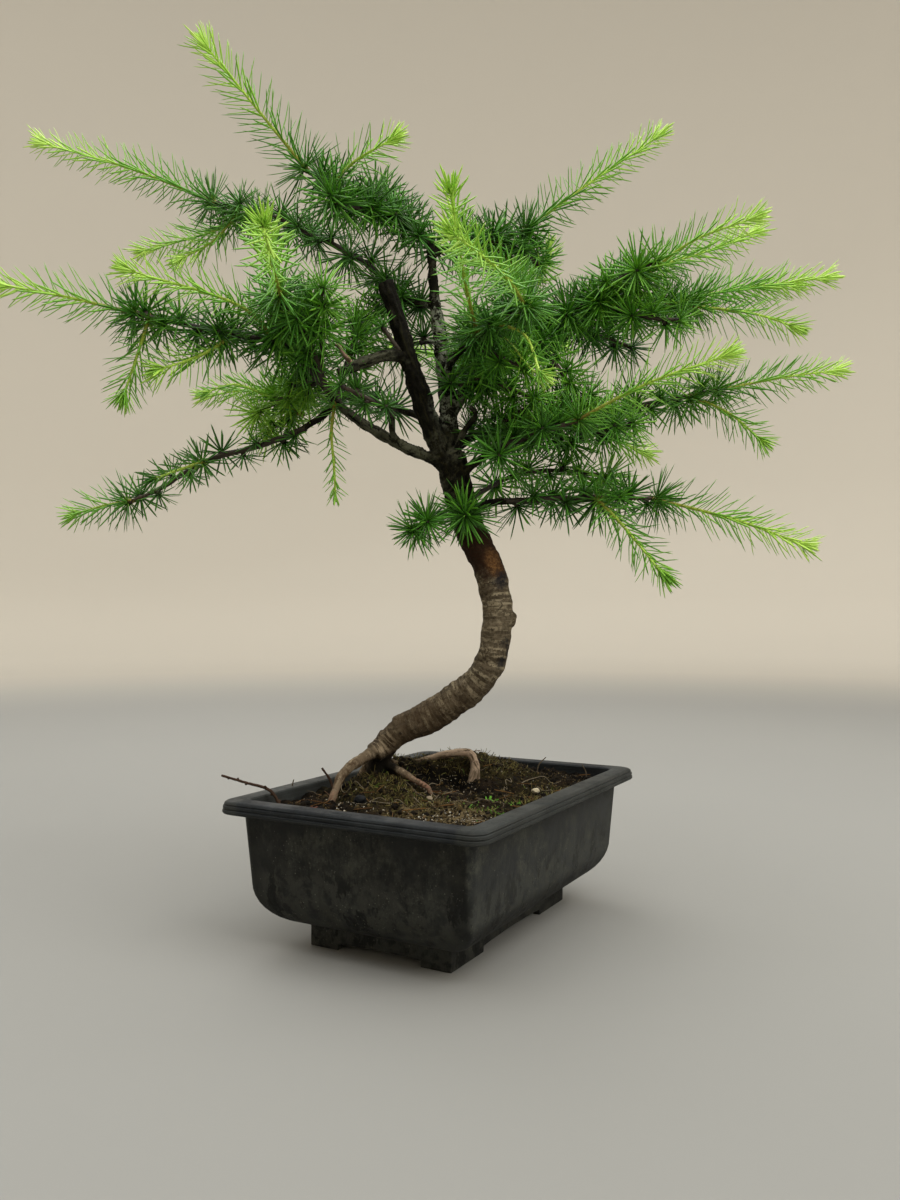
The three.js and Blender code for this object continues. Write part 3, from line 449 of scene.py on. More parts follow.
@dataclass(frozen=True)
class PotPlastic:
    """Weathered charcoal plastic, brushed with dust; its long sides and rim are lighter, partly from dust and partly
    as painted light.
    """

    charcoal: str = "090a09"
    faded: str = "171917"
    dust: str = "494a43"
    long_side_dust_and_light: str = "292c2d"
    wet: str = "050605"
    rim: str = "101316"
    rim_worn: str = "303436"
    speck: str = "7f7d72"
    rim_heights: Pair = (0.0815, 0.0845)
    low_heights: Pair = (0.066, 0.044)
    shaded_heights: Pair = (0.066, 0.079)
    long_side: Pair = (0.071**2, 0.0745**2)
    edge: Pair = (0.056**2, 0.070**2)

    def material(self, scratch: Array) -> Skin:
        """Makes the material.

        Args:
            scratch: Where a pale scratch crosses the rim.

        Returns:
            The material.
        """
        dye = Dye("weathered_plastic")
        place = dye.place()
        _, across, height = dye.parts(place)
        across = across - float(TREE.middle[1])
        long_side = (across * across).step(*self.long_side)
        edge = (across * across).step(*self.edge) * (1 - long_side)
        clouds = dye.noise(place, 34.0, 5.0, 0.62).step(0.38, 0.64)
        blots = dye.noise(place, (75.0, 75.0, 42.0), 5.0, 0.62).step(0.42, 0.6)
        brushed = dye.noise(place, (480.0, 480.0, 190.0), 3.0, 0.65)
        mottle = dye.noise(place, 120.0, 6.0, 0.72)
        smears = dye.noise(place, (62.0, 62.0, 34.0), 5.0, 0.72)
        grit = dye.noise(place, 700.0, 2.0, 0.7)
        low = height.step(*self.low_heights) * (brushed.step(0.3, 0.55) * 0.4 + 0.6)
        coat = brushed.step(0.38, 0.66) * 0.4 + mottle.step(0.42, 0.6) * 0.65
        dusty = coat * (clouds * 0.75 + blots * 0.35 + long_side * 0.1)
        dusty = dusty.at_least(low * mottle.step(0.38, 0.52) * 0.6)
        shaded = height.step(*self.shaded_heights) * clouds.step(0.9, 0.2) * 0.6
        drops = dye.cells(place, 380.0).step(0.17, 0.08) * dye.noise(place, 60.0, 2.0).step(0.46, 0.6)
        specks = drops.at_least(dye.cells(place, 90.0).step(0.045, 0.03))
        wall = dye.coats(
            self.charcoal,
            (blots, self.faded),
            # The long sides are lighter: partly dust, partly painted light.
            (long_side * 0.55, self.long_side_dust_and_light),
            (dusty * (long_side * 0.1 + 0.65), self.dust),
            (grit.step(0.58, 0.75) * clouds * 0.2, self.speck),
            # Painted shade: a darker band under the rim's overhang; the short sides also darken towards their
            # corners.
            (shaded.at_least(edge * 0.55), self.charcoal),
            (smears.step(0.53, 0.57) * low * (0.9 - long_side * 0.4), self.wet),
            (specks * 0.35, self.speck),
        )
        lines = dye.noise(place, (25.0, 25.0, 1500.0), 2.0, 0.6)
        worn = dye.noise(place, 60.0, 4.0, 0.65).step(0.42, 0.7)
        rim = dye.mix(lines.step(0.42, 0.62) * 0.35 + worn * 0.4, self.rim, self.rim_worn)
        # The rim's long sides are lighter too: partly dust, partly painted light.
        rim = dye.mix(long_side * 0.25 + grit.step(0.6, 0.8) * 0.25, rim, self.dust)
        on_rim = height.step(*self.rim_heights)
        mark = dye.distance(dye.stretch(place, (1.0, 1.0, 0.1)), scratch * [1.0, 1.0, 0.1])
        colour = dye.coats(wall, (on_rim, rim), (mark.step(0.0011, 0.0004) * on_rim * 0.7, self.speck))
        roughness = 0.56 + clouds * 0.1 + dusty * 0.3
        bump = dye.bump(grit * 0.4 + brushed * 0.5 + specks * 0.5, 0.0003, 0.45)
        return dye.surface(colour, roughness, bump, 0.22)


@dataclass(frozen=True)
class Bark:
    """Bark that is tan on the roots, finely ringed on the trunk, rusty under its fork and near black above."""

    root: str = "665846"
    root_flake: str = "3a2a1a"
    root_pale: str = "93836b"
    bleached: str = "ac9680"
    pink: str = "8c6655"
    trunk: str = "665b49"
    trunk_dark: str = "2d2519"
    trunk_pale: str = "978b72"
    knot: str = "16161a"
    rusty: str = "29180c"
    amber: str = "7c5832"
    old: str = "0e0c06"
    old_light: str = "292713"
    limb_grey: str = "515141"
    lichen: str = "868a78"
    low_shade_and_brown_heights: Pair = (0.165, 0.130)
    root_heights: Pair = (0.122, 0.106)
    rusty_heights: Pair = (0.217, 0.231)
    old_heights: Pair = (0.250, 0.268)

    def material(self, marks: Mapping[str, Sequence[Array]]) -> Skin:
        """Makes the material.

        Args:
            marks: Middles of the knots, the wrinkles, the stained patches and the painted shade in the root core, by
                their names.

        Returns:
            The material.
        """
        dye = Dye("larch_bark")
        place = dye.place()
        grain = dye.attribute("grain")
        height = dye.parts(place)[2]
        clouds = dye.noise(place, 70.0, 4.0, 0.6)
        mottle = dye.noise(place, 190.0, 4.0, 0.7)
        fine = dye.noise(place, 520.0, 3.0, 0.65)
        rings = dye.noise(grain, (60.0, 60.0, 1150.0), 3.0, 0.62)
        ridges = dye.noise(grain, (420.0, 420.0, 85.0), 4.0, 0.65)
        trunk = dye.coats(
            self.trunk,
            (clouds.step(0.4, 0.62) * 0.36, self.trunk_dark),
            (mottle.step(0.47, 0.36) * 0.5, self.trunk_dark),
            (fine.step(0.5, 0.38) * 0.55, self.trunk_dark),
            (rings.step(0.48, 0.4) * 0.5, self.trunk_dark),
            (rings.step(0.53, 0.62) * fine.step(0.36, 0.52) * 0.62, self.trunk_pale),
            # Painted shade and a browner tone on the low trunk, growing towards its foot.
            (height.step(*self.low_shade_and_brown_heights) * 0.5, self.root_flake),
            (dye.cells(grain, (130.0, 130.0, 300.0)).step(0.17, 0.08) * mottle.step(0.45, 0.55) * 0.8, self.old),
        )
        root = dye.coats(
            self.root,
            (mottle.step(0.54, 0.4) * 0.8, self.root_flake),
            (ridges.step(0.5, 0.66) * fine.step(0.4, 0.6) * 0.8, self.root_pale),
            (rings.step(0.46, 0.36) * 0.55, self.root_flake),
        )
        rusty = dye.mix(fine.step(0.45, 0.62) * 0.5, self.rusty, self.trunk_dark)
        old = dye.coats(
            self.old,
            (ridges.step(0.45, 0.66), self.old_light),
            (clouds.step(0.46, 0.6) * mottle.step(0.4, 0.58) * 0.5, self.limb_grey),
            (fine.step(0.52, 0.36) * 0.6, self.old),
        )
        shift = clouds - 0.5
        patchy = height + (mottle - 0.5) * 0.02 + shift * 0.03
        colour = dye.coats(
            trunk,
            ((height + shift * 0.02).step(*self.root_heights), root),
            (patchy.step(*self.rusty_heights), rusty),
            ((height + shift * 0.03).step(*self.old_heights), old),
        )
        soot = dye.mix(ridges.step(0.52, 0.7) * 0.7, self.old, self.old_light)
        # The wrinkles are dark and pale stripes: painted shade in their folds and painted light on their ridges.
        folds = dye.noise(grain, (45.0, 45.0, 1500.0), 2.0, 0.5)
        wrinkle_shade_and_light = dye.mix(folds.step(0.46, 0.56), self.trunk_dark, self.root_pale)
        layers = (
            ("grey", self.limb_grey, 0.013, 0.006, mottle.step(0.36, 0.52) * ridges.step(0.38, 0.52) * 0.8),
            ("soot", soot, 0.016, 0.010, 0.92),
            ("rust", self.amber, 0.0085, 0.002, (0.35 + fine.step(0.4, 0.6) * 0.65) * 0.6),
            # Painted shade: the root core under the trunk darkened to near black.
            ("root_core_shade", self.old, 0.012, 0.006, 0.8),
            ("lichen", self.lichen, 0.019, 0.008, mottle.step(0.45, 0.56) * fine.step(0.36, 0.5) * 0.8),
            ("knots", self.knot, 0.0055, 0.0020, fine.step(0.3, 0.5) * 0.85),
            ("bleached", self.bleached, 0.013, 0.006, ridges.step(0.4, 0.55) * 0.65),
            ("pink", self.pink, 0.012, 0.004, fine.step(0.36, 0.56) * 0.4),
            ("wrinkles", wrinkle_shade_and_light, 0.011, 0.005, 0.5),
        )
        wander = (mottle - 0.5) * 0.012
        for name, look, outer, inner, strength in layers:
            for spot in marks[name]:
                colour = dye.mix((dye.distance(place, spot) + wander).step(outer, inner) * strength, colour, look)
        relief = ridges * 0.45 + rings * 0.6 + fine * 0.25 + mottle * 0.3
        return dye.surface(colour, 0.8 + fine * 0.18, dye.bump(relief, 0.0012, 0.9), 0.12)


@dataclass(frozen=True)
class SprayBark:
    """Thin bark of a twig or shoot, from old grey-brown through orange to yellow-green."""

    name: str
    stops: Stops
    speck: str = "1c150c"
    specked: float = 0.45

    def material(self) -> Skin:
        """Makes the material.

        Returns:
            The material.
        """
        dye = Dye(self.name)
        age, _, tint = dye.parts(dye.attribute("growth"))
        speckle = dye.noise(dye.place(), 600.0, 2.0, 0.6)
        colour = dye.ramp(age + (speckle - 0.5) * 0.25 + (tint - 0.5) * 0.1, self.stops)
        colour = dye.mix(speckle.step(0.6, 0.42) * self.specked, colour, self.speck)
        return dye.surface(colour, 0.62 + speckle * 0.2, dye.bump(speckle, 0.0003, 0.6))


@dataclass(frozen=True)
class Needles:
    """Soft needles whose colour follows their age, their length and a tint of their own."""

    name: str
    stops: Stops
    shade: str
    blue: str
    turn: float = 0.1
    shine: float = 0.42

    def material(self) -> Skin:
        """Makes the material.

        Returns:
            The material.
        """
        dye = Dye(self.name)
        age, along, tint = dye.parts(dye.attribute("growth"))
        clouds = dye.noise(dye.place(), 26.0, 2.0)
        own = (tint - 0.5) * 0.3 + (clouds - 0.5) * 0.4
        colour = dye.ramp(age + own + along * self.turn, self.stops)
        bluish = tint.step(0.75, 0.98) * (1 - age.step(0.3, 0.7)) * 0.35
        # Near its foot each needle turns to the shade colour: for the rosettes a dark green that paints the shadow of
        # their dense middles, for the shoots their own paler yellow-green, for the moss a darker foot.
        colour = dye.coats(colour, (bluish, self.blue), (along.step(0.3, 0.0) * 0.4, self.shade))
        return dye.surface(colour, 0.42 + tint * 0.14, None, self.shine)


@dataclass(frozen=True)
class Earth:
    """Dark potting soil with lighter crumbs and an olive bloom of moss on its mounds."""

    dark: str = "0a0806"
    brown: str = "231b12"
    tan: str = "64573e"
    olive: str = "2f2a15"

    def material(self, mosses: Sequence[Array], tans: Sequence[Array], mound_shade_spots: Sequence[Array]) -> Skin:
        """Makes the material.

        Args:
            mosses: Middles of the mossy parts.
            tans: Middles of the dry, paler parts.
            mound_shade_spots: Middles of the painted shade on the mound's steep front face.

        Returns:
            The material.
        """
        dye = Dye("potting_soil")
        place = dye.place()
        clouds = dye.noise(place, 60.0, 4.0, 0.65)
        crumbs = dye.noise(place, 420.0, 3.0, 0.7)
        fibres = dye.noise(place, (300.0, 900.0, 300.0), 2.0, 0.6)
        colour = dye.mix(clouds.step(0.4, 0.66), self.dark, self.brown)
        layers = (
            (tans, self.tan, 0.05, (0.03, 0.008), crumbs.step(0.4, 0.6) * 0.8),
            (mosses, self.olive, 0.07, (0.04, 0.014), fibres.step(0.38, 0.6) * 0.85),
            # Painted shade: darkens the steep front face of the mound.
            (mound_shade_spots, self.dark, 0.02, (0.014, 0.007), 0.85),
        )
        for spots, look, wander, reach, strength in layers:
            for spot in spots:
                near = (dye.distance(place, spot) + (clouds - 0.5) * wander).step(*reach)
                colour = dye.mix(near * strength, colour, look)
        colour = dye.mix(crumbs.step(0.5, 0.3) * 0.8, colour, self.dark)
        colour = dye.mix(dye.cells(place, 420.0).step(0.2, 0.08) * 0.35, colour, self.tan)
        bump = dye.bump(crumbs * 0.6 + fibres * 0.4, 0.0015, 0.8)
        return dye.surface(colour, 0.95, bump, 0.05)


@dataclass(frozen=True)
class Grain:
    """A mottled mineral or woody finish for stones, grit, crumbs and dead wood."""

    name: str
    stops: Stops
    scale: float = 300.0
    roughness: float = 0.85

    def material(self) -> Skin:
        """Makes the material.

        Returns:
            The material.
        """
        dye = Dye(self.name)
        own = dye.parts(dye.attribute("growth"))[2]
        mottle = dye.noise(dye.place(), self.scale, 3.0, 0.65)
        colour = dye.ramp(own * 0.75 + (mottle - 0.5) * 0.8 + 0.12, self.stops)
        return dye.surface(colour, self.roughness, dye.bump(mottle, 0.0004, 0.7), 0.1)


# Modelling steps ------------------------


def pick(*pieces: Piece) -> None:
    """Selects pieces and nothing else.

    Args:
        pieces: The pieces. The first becomes the active one.
    """
    bpy.ops.object.select_all(action="DESELECT")
    for piece in pieces:
        piece.select_set(True)
    bpy.context.view_layer.objects.active = pieces[0]


def linked(name: str, data: bpy.types.ID) -> Piece:
    """Puts an object into the scene.

    Args:
        name: Its name.
        data: Its mesh, curve, lamp or camera.

    Returns:
        The object.
    """
    made = bpy.data.objects.new(name, data)
    bpy.context.scene.collection.objects.link(made)
    return made


def start(name: str, add: Callable[..., object], **sizes: object) -> Piece:
    """Adds a primitive, alone in the selection.

    Args:
        name: Its name.
        add: The operator that adds it.
        sizes: Its sizes and place.

    Returns:
        The object.
    """
    bpy.ops.object.select_all(action="DESELECT")
    add(**sizes)
    piece = bpy.context.active_object
    piece.name = piece.data.name = name
    return piece


@contextmanager
def editing(piece: Piece, kind: str = "FACE") -> Iterator[bmesh.types.BMesh]:
    """Opens a piece in edit mode, with its whole mesh selected.

    Args:
        piece: The piece.
        kind: What is selected: VERT, EDGE or FACE.

    Yields:
        Its mesh in edit mode.
    """
    pick(piece)
    bpy.ops.object.mode_set(mode="EDIT")
    bpy.ops.mesh.select_mode(type=kind)
    bpy.ops.mesh.select_all(action="SELECT")
    yield bmesh.from_edit_mesh(piece.data)
    bpy.ops.object.mode_set(mode="OBJECT")


def face_outwards() -> None:
    """Selects the whole mesh in edit mode and turns its faces outwards."""
    bpy.ops.mesh.select_all(action="SELECT")
    bpy.ops.mesh.normals_make_consistent(inside=False)


def extrude(up: float, scale: Sequence[float] = (1.0, 1.0), middle: Sequence[float] = (0.0, 0.0, 0.0)) -> None:
    """Extrudes what is selected upwards and resizes its end about a middle."""
    bpy.ops.mesh.extrude_region_move(TRANSFORM_OT_translate={"value": (0.0, 0.0, up)})
    bpy.ops.transform.resize(value=(*scale, 1.0), center_override=tuple(middle))


def apply_modifier(piece: Piece, kind: str, **settings: object) -> None:
    """Adds a modifier to a piece and applies it.

    Args:
        piece: The piece.
        kind: The modifier's type.
        settings: Its settings.
    """
    made = piece.modifiers.new(kind.title(), kind)
    for name, value in settings.items():
        setattr(made, name, value)
    pick(piece)
    bpy.ops.object.modifier_apply(modifier=made.name)


def places_of(piece: Piece, what: str = "co") -> Array:
    """Reads the corners of a piece.

    Args:
        piece: The piece.
        what: Their places, "co", or their normals, "normal".

    Returns:
        Three numbers for each corner.
    """
    spots = np.zeros(len(piece.data.vertices) * 3, np.float32)
    piece.data.vertices.foreach_get(what, spots)
    return spots.reshape(-1, 3).astype(float)


def set_places(piece: Piece, spots: Array) -> None:
    """Moves the corners of a piece."""
    piece.data.vertices.foreach_set("co", spots.astype(np.float32).ravel())
    piece.data.update()


def keep_vectors(piece: Piece, name: str, vectors: Array) -> None:
    """Keeps a vector for each corner, for the materials to read."""
    made = piece.data.attributes.new(name, "FLOAT_VECTOR", "POINT")
    made.data.foreach_set("vector", vectors.astype(np.float32).ravel())


def to_origin(piece: Piece) -> None:
    """Puts a piece's place, turn and scale into its mesh."""
    piece.data.transform(piece.matrix_world)
    piece.matrix_world.identity()


def settle(piece: Piece, stands_for: Sequence[str] = (), skin: Skin | None = None) -> None:
    """Dresses a finished piece and puts it on the part.

    Args:
        piece: The piece.
        stands_for: The part's nodes that it replaces.
        skin: Its material, unless it has its materials.
    """
    if skin:
        piece.data.materials.clear()
        piece.data.materials.append(skin)
    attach(piece, BODY)
    if stands_for:
        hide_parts(*stands_for)
    REPORT.info("%s: %d faces", piece.name, len(piece.data.polygons))


@dataclass(frozen=True)
class Shape:
    """A small closed shape that is copied many times: it stands on the origin, one unit high."""

    places: Array
    faces: tuple[tuple[int, ...], ...]

    @classmethod
    def taken(cls, piece: Piece) -> "Shape":
        """Takes the shape of an object and deletes the object.

        Args:
            piece: The object.

        Returns:
            The shape.
        """
        shape = cls(places_of(piece), tuple(tuple(face.vertices) for face in piece.data.polygons))
        bpy.data.objects.remove(piece)
        return shape

    @classmethod
    def spun(cls, name: str, sides: int, rings: Pairs) -> "Shape":
        """Extrudes a disc through rings of given height and width, and closes it in a tip.

        Args:
            name: The name of the shape.
            sides: How many sides it has.
            rings: Height and width of each ring; the last is the tip's height.

        Returns:
            The shape.
        """
        add = bpy.ops.mesh.primitive_circle_add
        piece = start(name, add, vertices=sides, radius=rings[0][1] / 2, fill_type="NGON")
        with editing(piece):
            for (low, width), (high, next_width) in zip(rings, rings[1:], strict=False):
                extrude(high - low, (next_width / width, next_width / width))
            extrude(1.0 - rings[-1][0])
            bpy.ops.mesh.merge(type="CENTER")
            face_outwards()
        return cls.taken(piece)

    @classmethod
    def lump(cls, name: str, subdivisions: int) -> "Shape":
        """Makes a rough lump of the size of a unit ball.

        Args:
            name: The name of the shape.
            subdivisions: How fine it is.

        Returns:
            The shape.
        """
        piece = start(name, bpy.ops.mesh.primitive_ico_sphere_add, subdivisions=subdivisions, radius=0.5)
        spots = places_of(piece)
        bulge = [1 + 0.35 * noise.noise(Vector(spot) * 3.1) for spot in spots]
        set_places(piece, spots * np.array(bulge)[:, None])
        return cls.taken(piece)


class Heap:
    """Gathers copies of shapes and tubes into one mesh, with what their materials read."""

    def __init__(self) -> None:
        """Starts empty."""
        self.places: list[Array] = []
        self.faces: list[list[int]] = []
        self.growth: list[Array] = []
        self.slots: list[int] = []
        self.count = 0

    def put(self, places: Array, faces: Sequence[Sequence[int]], growth: Array, slot: int) -> None:
        """Adds corners and faces.

        Args:
            places: The corners.
            faces: The faces, as numbers of those corners.
            growth: Age, share of the length and tint for each corner.
            slot: Which of the piece's materials the faces have.
        """
        self.places.append(places)
        self.growth.append(growth)
        self.faces.extend([corner + self.count for corner in face] for face in faces)
        self.slots.extend([slot] * len(faces))
        self.count += len(places)

    def lay(
        self, shape: Shape, spots: Array, headings: Array, sides: Array, sizes: Sequence[Array | float],
        growth: Sequence[Array | float], slot: int, bends: Array | float = 0.0,
    ) -> None:
        """Lays copies of a shape.

        Args:
            shape: The shape.
            spots: Where each copy stands.
            headings: The way that each copy points.
            sides: A way across each copy, towards which it may bend.
            sizes: The copies' widths, thicknesses and heights.
            growth: The copies' ages and tints.
            slot: Which of the piece's materials the copies have.
            bends: How far each tip is bent sideways, as a share of its height.
        """
        sides = unit(sides - headings * (sides * headings).sum(axis=1, keepdims=True))
        across = np.cross(headings, sides)
        x, y, z = shape.places.T
        wide, thick, tall = (np.reshape(size, (-1, 1)) for size in sizes)
        bend = np.reshape(bends, (-1, 1)) * tall * z**2
        places = spots[:, None] + sides[:, None] * (wide * x + bend)[..., None]
        places = places + across[:, None] * (thick * y)[..., None] + headings[:, None] * (tall * z)[..., None]
        count = len(x)
        read = np.empty((len(spots), count, 3))
        read[..., 0], read[..., 2] = (np.reshape(value, (-1, 1)) for value in growth)
        read[..., 1] = np.clip(z, 0.0, 1.0)
        faces = [[corner + copy * count for corner in face] for copy in range(len(spots)) for face in shape.faces]
        self.put(places.reshape(-1, 3), faces, read.reshape(-1, 3), slot)

    def tube(
        self, course: Course, count: int, radii: Pair, sides: int, ages: Pair,
        tint: float, relief: Array | float = 1.0,
    ) -> None:
        """Lays a closed, tapering tube along a course, in the first of the piece's materials.

        Args:
            course: The course.
            count: How many rings it has.
            radii: Its radii at both ends, in millimetres.
            sides: How many sides it has.
            ages: The ages at both ends.
            tint: Its own tint.
            relief: The share by which each corner stands out, for each ring.
        """
        far = np.linspace(0, course.length, count)
        _, across, up = course.frames(far)
        angles = np.arange(sides) / sides * 2 * math.pi
        reach = (np.linspace(*radii, count) * MM)[:, None] * relief * np.ones((1, sides))
        ring = across[:, None] * (np.cos(angles) * reach)[..., None]
        ring = ring + up[:, None] * (np.sin(angles) * reach)[..., None]
        places = (course.at(far)[:, None] + ring).reshape(-1, 3)
        faces = [list(range(sides))[::-1]]
        for level in range(count - 1):
            for side in range(sides):
                after = (side + 1) % sides
                low, high = level * sides, (level + 1) * sides
                faces.append([low + side, low + after, high + after, high + side])
        last = (count - 1) * sides
        faces.append([last + side for side in range(sides)])
        growth = np.tile([0.0, 0.5, tint], (len(places), 1))
        growth[:, 0] = np.repeat(np.linspace(*ages, count), sides)
        self.put(places, faces, growth, 0)

    def piece(self, name: str, materials: Sequence[Skin]) -> Piece:
        """Makes the object.

        Args:
            name: Its name.
            materials: Its materials, in the order of the slots.

        Returns:
            The object.
        """
        mesh = bpy.data.meshes.new(name)
        mesh.from_pydata(np.vstack(self.places).tolist(), [], self.faces)
        for material in materials:
            mesh.materials.append(material)
        mesh.polygons.foreach_set("material_index", self.slots)
        mesh.polygons.foreach_set("use_smooth", [True] * len(self.faces))
        piece = linked(name, mesh)
        keep_vectors(piece, "growth", np.vstack(self.growth))
        mesh.update()
        return piece


# Pot ------------------------


@dataclass(frozen=True)
class Pot:
    """The rectangular training pot: a rimmed tray that curves in at the bottom, on arched feet."""

    length: float = 0.240
    width: float = 0.176
    height: float = 0.090
    corner: float = 0.009
    corner_steps: int = 8
    wall_corner: float = 0.0052
    wall_inset: float = 0.0104
    wall_lean: float = 0.003
    wall: float = 0.003
    belly: float = 0.027
    belly_steps: int = 10
    floor_top: float = 0.017
    floor_bottom: float = 0.014
    rim_drop: float = 0.008
    rim_gap: float = 0.0003
    foot_inset: float = 0.0396
    foot_wall: float = 0.005
    foot_sunk: float = 0.004
    foot_lengths: Pair = (0.040, 0.020)
    arch_clear: float = 0.0045
    arch_rise: float = 0.001
    arch_steps: int = 8
    arch_below: float = 0.001
    foot_edge: float = 0.0006
    smooth_angle: float = math.radians(32)
    drain_radius: float = 0.008
    drain_spacing: float = 0.090

    rim: Pairs = (
        (0.0016, 0.0080), (0.0006, 0.0076), (0.0, 0.0068), (0.0, 0.0054), (0.0007, 0.0050), (0.0007, 0.0047),
        (0.0002, 0.0043), (0.0003, 0.0029), (0.0010, 0.0025), (0.0010, 0.0022), (0.0007, 0.0019), (0.0010, 0.0011),
        (0.0018, 0.0004), (0.0028, 0.0001), (0.0040, 0.0002), (0.0046, 0.0), (0.0114, 0.0), (0.0124, 0.0003),
        (0.0130, 0.0011),
    )

    def _belly(self, inset: float, radius: float) -> Pairs:
        """Gives the curve from the floor up into the wall.

        Args:
            inset: Where it ends, inset from the rim's edge.
            radius: Its radius.

        Returns:
            Insets and heights.
        """
        centre = self.floor_bottom + self.belly
        turns = [(1 - step / self.belly_steps) * math.pi / 2 for step in range(self.belly_steps + 1)]
        return [(inset + radius * (1 - math.cos(t)), centre - radius * math.sin(t)) for t in turns]

    def _profile(self) -> Pairs:
        """Gives the pot's section, up the outside, over the rim and down inside.

        Returns:
            Insets and heights.
        """
        under = self.height - self.rim_drop
        foot = self.wall_inset + self.wall_lean
        outside = [*self._belly(foot, self.belly), (self.wall_inset, under - self.rim_gap)]
        rim = [(inset, self.height - drop) for inset, drop in self.rim]
        inside = self._belly(foot + self.wall, self.floor_bottom + self.belly - self.floor_top)
        return [*outside, *rim, (self.wall_inset + self.wall, under), *inside[::-1]]

    def _sheet(self, name: str, sizes: Pair, height: float) -> Piece:
        """Adds a flat sheet round the pot's middle.

        Args:
            name: Its name.
            sizes: Its length and width.
            height: How high it lies.

        Returns:
            The sheet.
        """
        sheet = start(name, bpy.ops.mesh.primitive_plane_add, size=1.0)
        sheet.scale = (*sizes, 1.0)
        sheet.location = TREE.middle + UP * height
        bpy.context.view_layer.update()
        to_origin(sheet)
        return sheet

    def _tray(self) -> Piece:
        """Extrudes the tray from its bottom, through its section, to the top of its floor.

        Returns:
            The tray.
        """
        profile = self._profile()
        tray = self._sheet("pot_tray", (self.length, self.width), profile[0][1])
        with editing(tray, "VERT"):
            bpy.ops.mesh.bevel(affect="VERTICES", offset=self.corner, segments=self.corner_steps)
            bpy.ops.mesh.select_mode(type="FACE")
            bpy.ops.mesh.select_all(action="SELECT")
            sizes = self._sizes(profile[0][0])
            scale = (sizes[0] / self.length, sizes[1] / self.width, 1.0)
            bpy.ops.transform.resize(value=scale, center_override=tuple(TREE.middle))
            for (inset, low), (next_inset, high) in zip(profile, profile[1:], strict=False):
                now, then = self._sizes(inset), self._sizes(next_inset)
                extrude(high - low, (then[0] / now[0], then[1] / now[1]), TREE.middle)
            face_outwards()
        self._tighten(tray, profile)
        return tray

    def _tighten(self, tray: Piece, profile: Pairs) -> None:
        """Draws the corners of the wall in tighter than those of the rim.

        Args:
            tray: The tray, whose corners follow each other ring by ring.
            profile: Inset and height of each ring.
        """
        rings = places_of(tray).reshape(len(profile), -1, 3)
        full = np.array([self.length, self.width]) / 2
        middle = TREE.middle[:2]
        for ring, (inset, _) in zip(rings, profile, strict=True):
            flat = ring[:, :2] - middle
            half = full - inset
            arc = self.corner * half / full
            share = (np.abs(flat) - (half - arc)) / arc
            tight = self.wall_corner if inset >= self.wall_inset else self.corner
            ring[:, :2] = middle + np.sign(flat) * (half - tight + tight * share)
        set_places(tray, rings.reshape(-1, 3))

    def _sizes(self, inset: float) -> Pair:
        """Gives the length and width of a ring that lies inset from the rim's edge."""
        return self.length - 2 * inset, self.width - 2 * inset

    def _skirt(self) -> Piece:
        """Makes the wall under the floor that the feet are cut from.

        Returns:
            The wall.
        """
        skirt = self._sheet("pot_skirt", self._sizes(self.foot_inset), 0.0)
        with editing(skirt):
            bpy.ops.mesh.inset(thickness=self.foot_wall)
            bpy.ops.mesh.delete(type="FACE")
            bpy.ops.mesh.select_all(action="SELECT")
            extrude(self.floor_bottom + self.foot_sunk)
            face_outwards()
        return skirt

    def _arch(self, half_span: float, along_x: bool) -> Piece:
        """Makes the block that is cut out between two feet.

        Args:
            half_span: Half of the way between the feet.
            along_x: Whether they stand along X.

        Returns:
            The block.
        """
        spring = self.arch_clear - self.arch_rise
        outline = [(-half_span, -self.arch_below), (half_span, -self.arch_below)]
        for step in range(self.arch_steps + 1):
            part = 1 - 2 * step / self.arch_steps
            outline.append((part * half_span, spring + self.arch_rise * (1 - part**2)))
        reach = self.length
        flat = [(x, -reach, z) if along_x else (-reach, x, z) for x, z in outline]
        mesh = bpy.data.meshes.new("pot_arch")
        mesh.from_pydata([Vector(spot) + Vector(TREE.middle) for spot in flat], [], [range(len(flat))])
        arch = linked("pot_arch", mesh)
        push = (0.0, 2 * reach, 0.0) if along_x else (2 * reach, 0.0, 0.0)
        with editing(arch):
            bpy.ops.mesh.extrude_region_move(TRANSFORM_OT_translate={"value": push})
            face_outwards()
        return arch

    def build(self, plastic: Skin) -> None:
        """Builds and dresses the pot.

        Args:
            plastic: Its plastic.
        """
        feet = self._skirt()
        sizes = self._sizes(self.foot_inset)
        spans = [size / 2 - reach for size, reach in zip(sizes, self.foot_lengths, strict=True)]
        tray = self._tray()
        cutters = [self._arch(spans[0], True), self._arch(spans[1], False)]
        for cutter in cutters:
            apply_modifier(feet, "BOOLEAN", operation="DIFFERENCE", solver="EXACT", object=cutter)
        apply_modifier(feet, "BEVEL", width=self.foot_edge, segments=2, limit_method="ANGLE")
        apply_modifier(tray, "BOOLEAN", operation="UNION", solver="EXACT", object=feet)
        for side in (-1, 1):
            spot = (TREE.middle[0] + side * self.drain_spacing / 2, TREE.middle[1], self.floor_top)
            sizes = {"vertices": 32, "radius": self.drain_radius, "depth": self.floor_top, "location": spot}
            drain = start("pot_drain", bpy.ops.mesh.primitive_cylinder_add, **sizes)
            apply_modifier(tray, "BOOLEAN", operation="DIFFERENCE", solver="EXACT", object=drain)
            cutters.append(drain)
        for spare in (*cutters, feet):
            bpy.data.objects.remove(spare)
        tray.name = tray.data.name = "training_pot"
        pick(tray)
        bpy.ops.object.shade_smooth_by_angle(angle=self.smooth_angle)
        settle(tray, ["pot"], plastic)


# Soil ------------------------

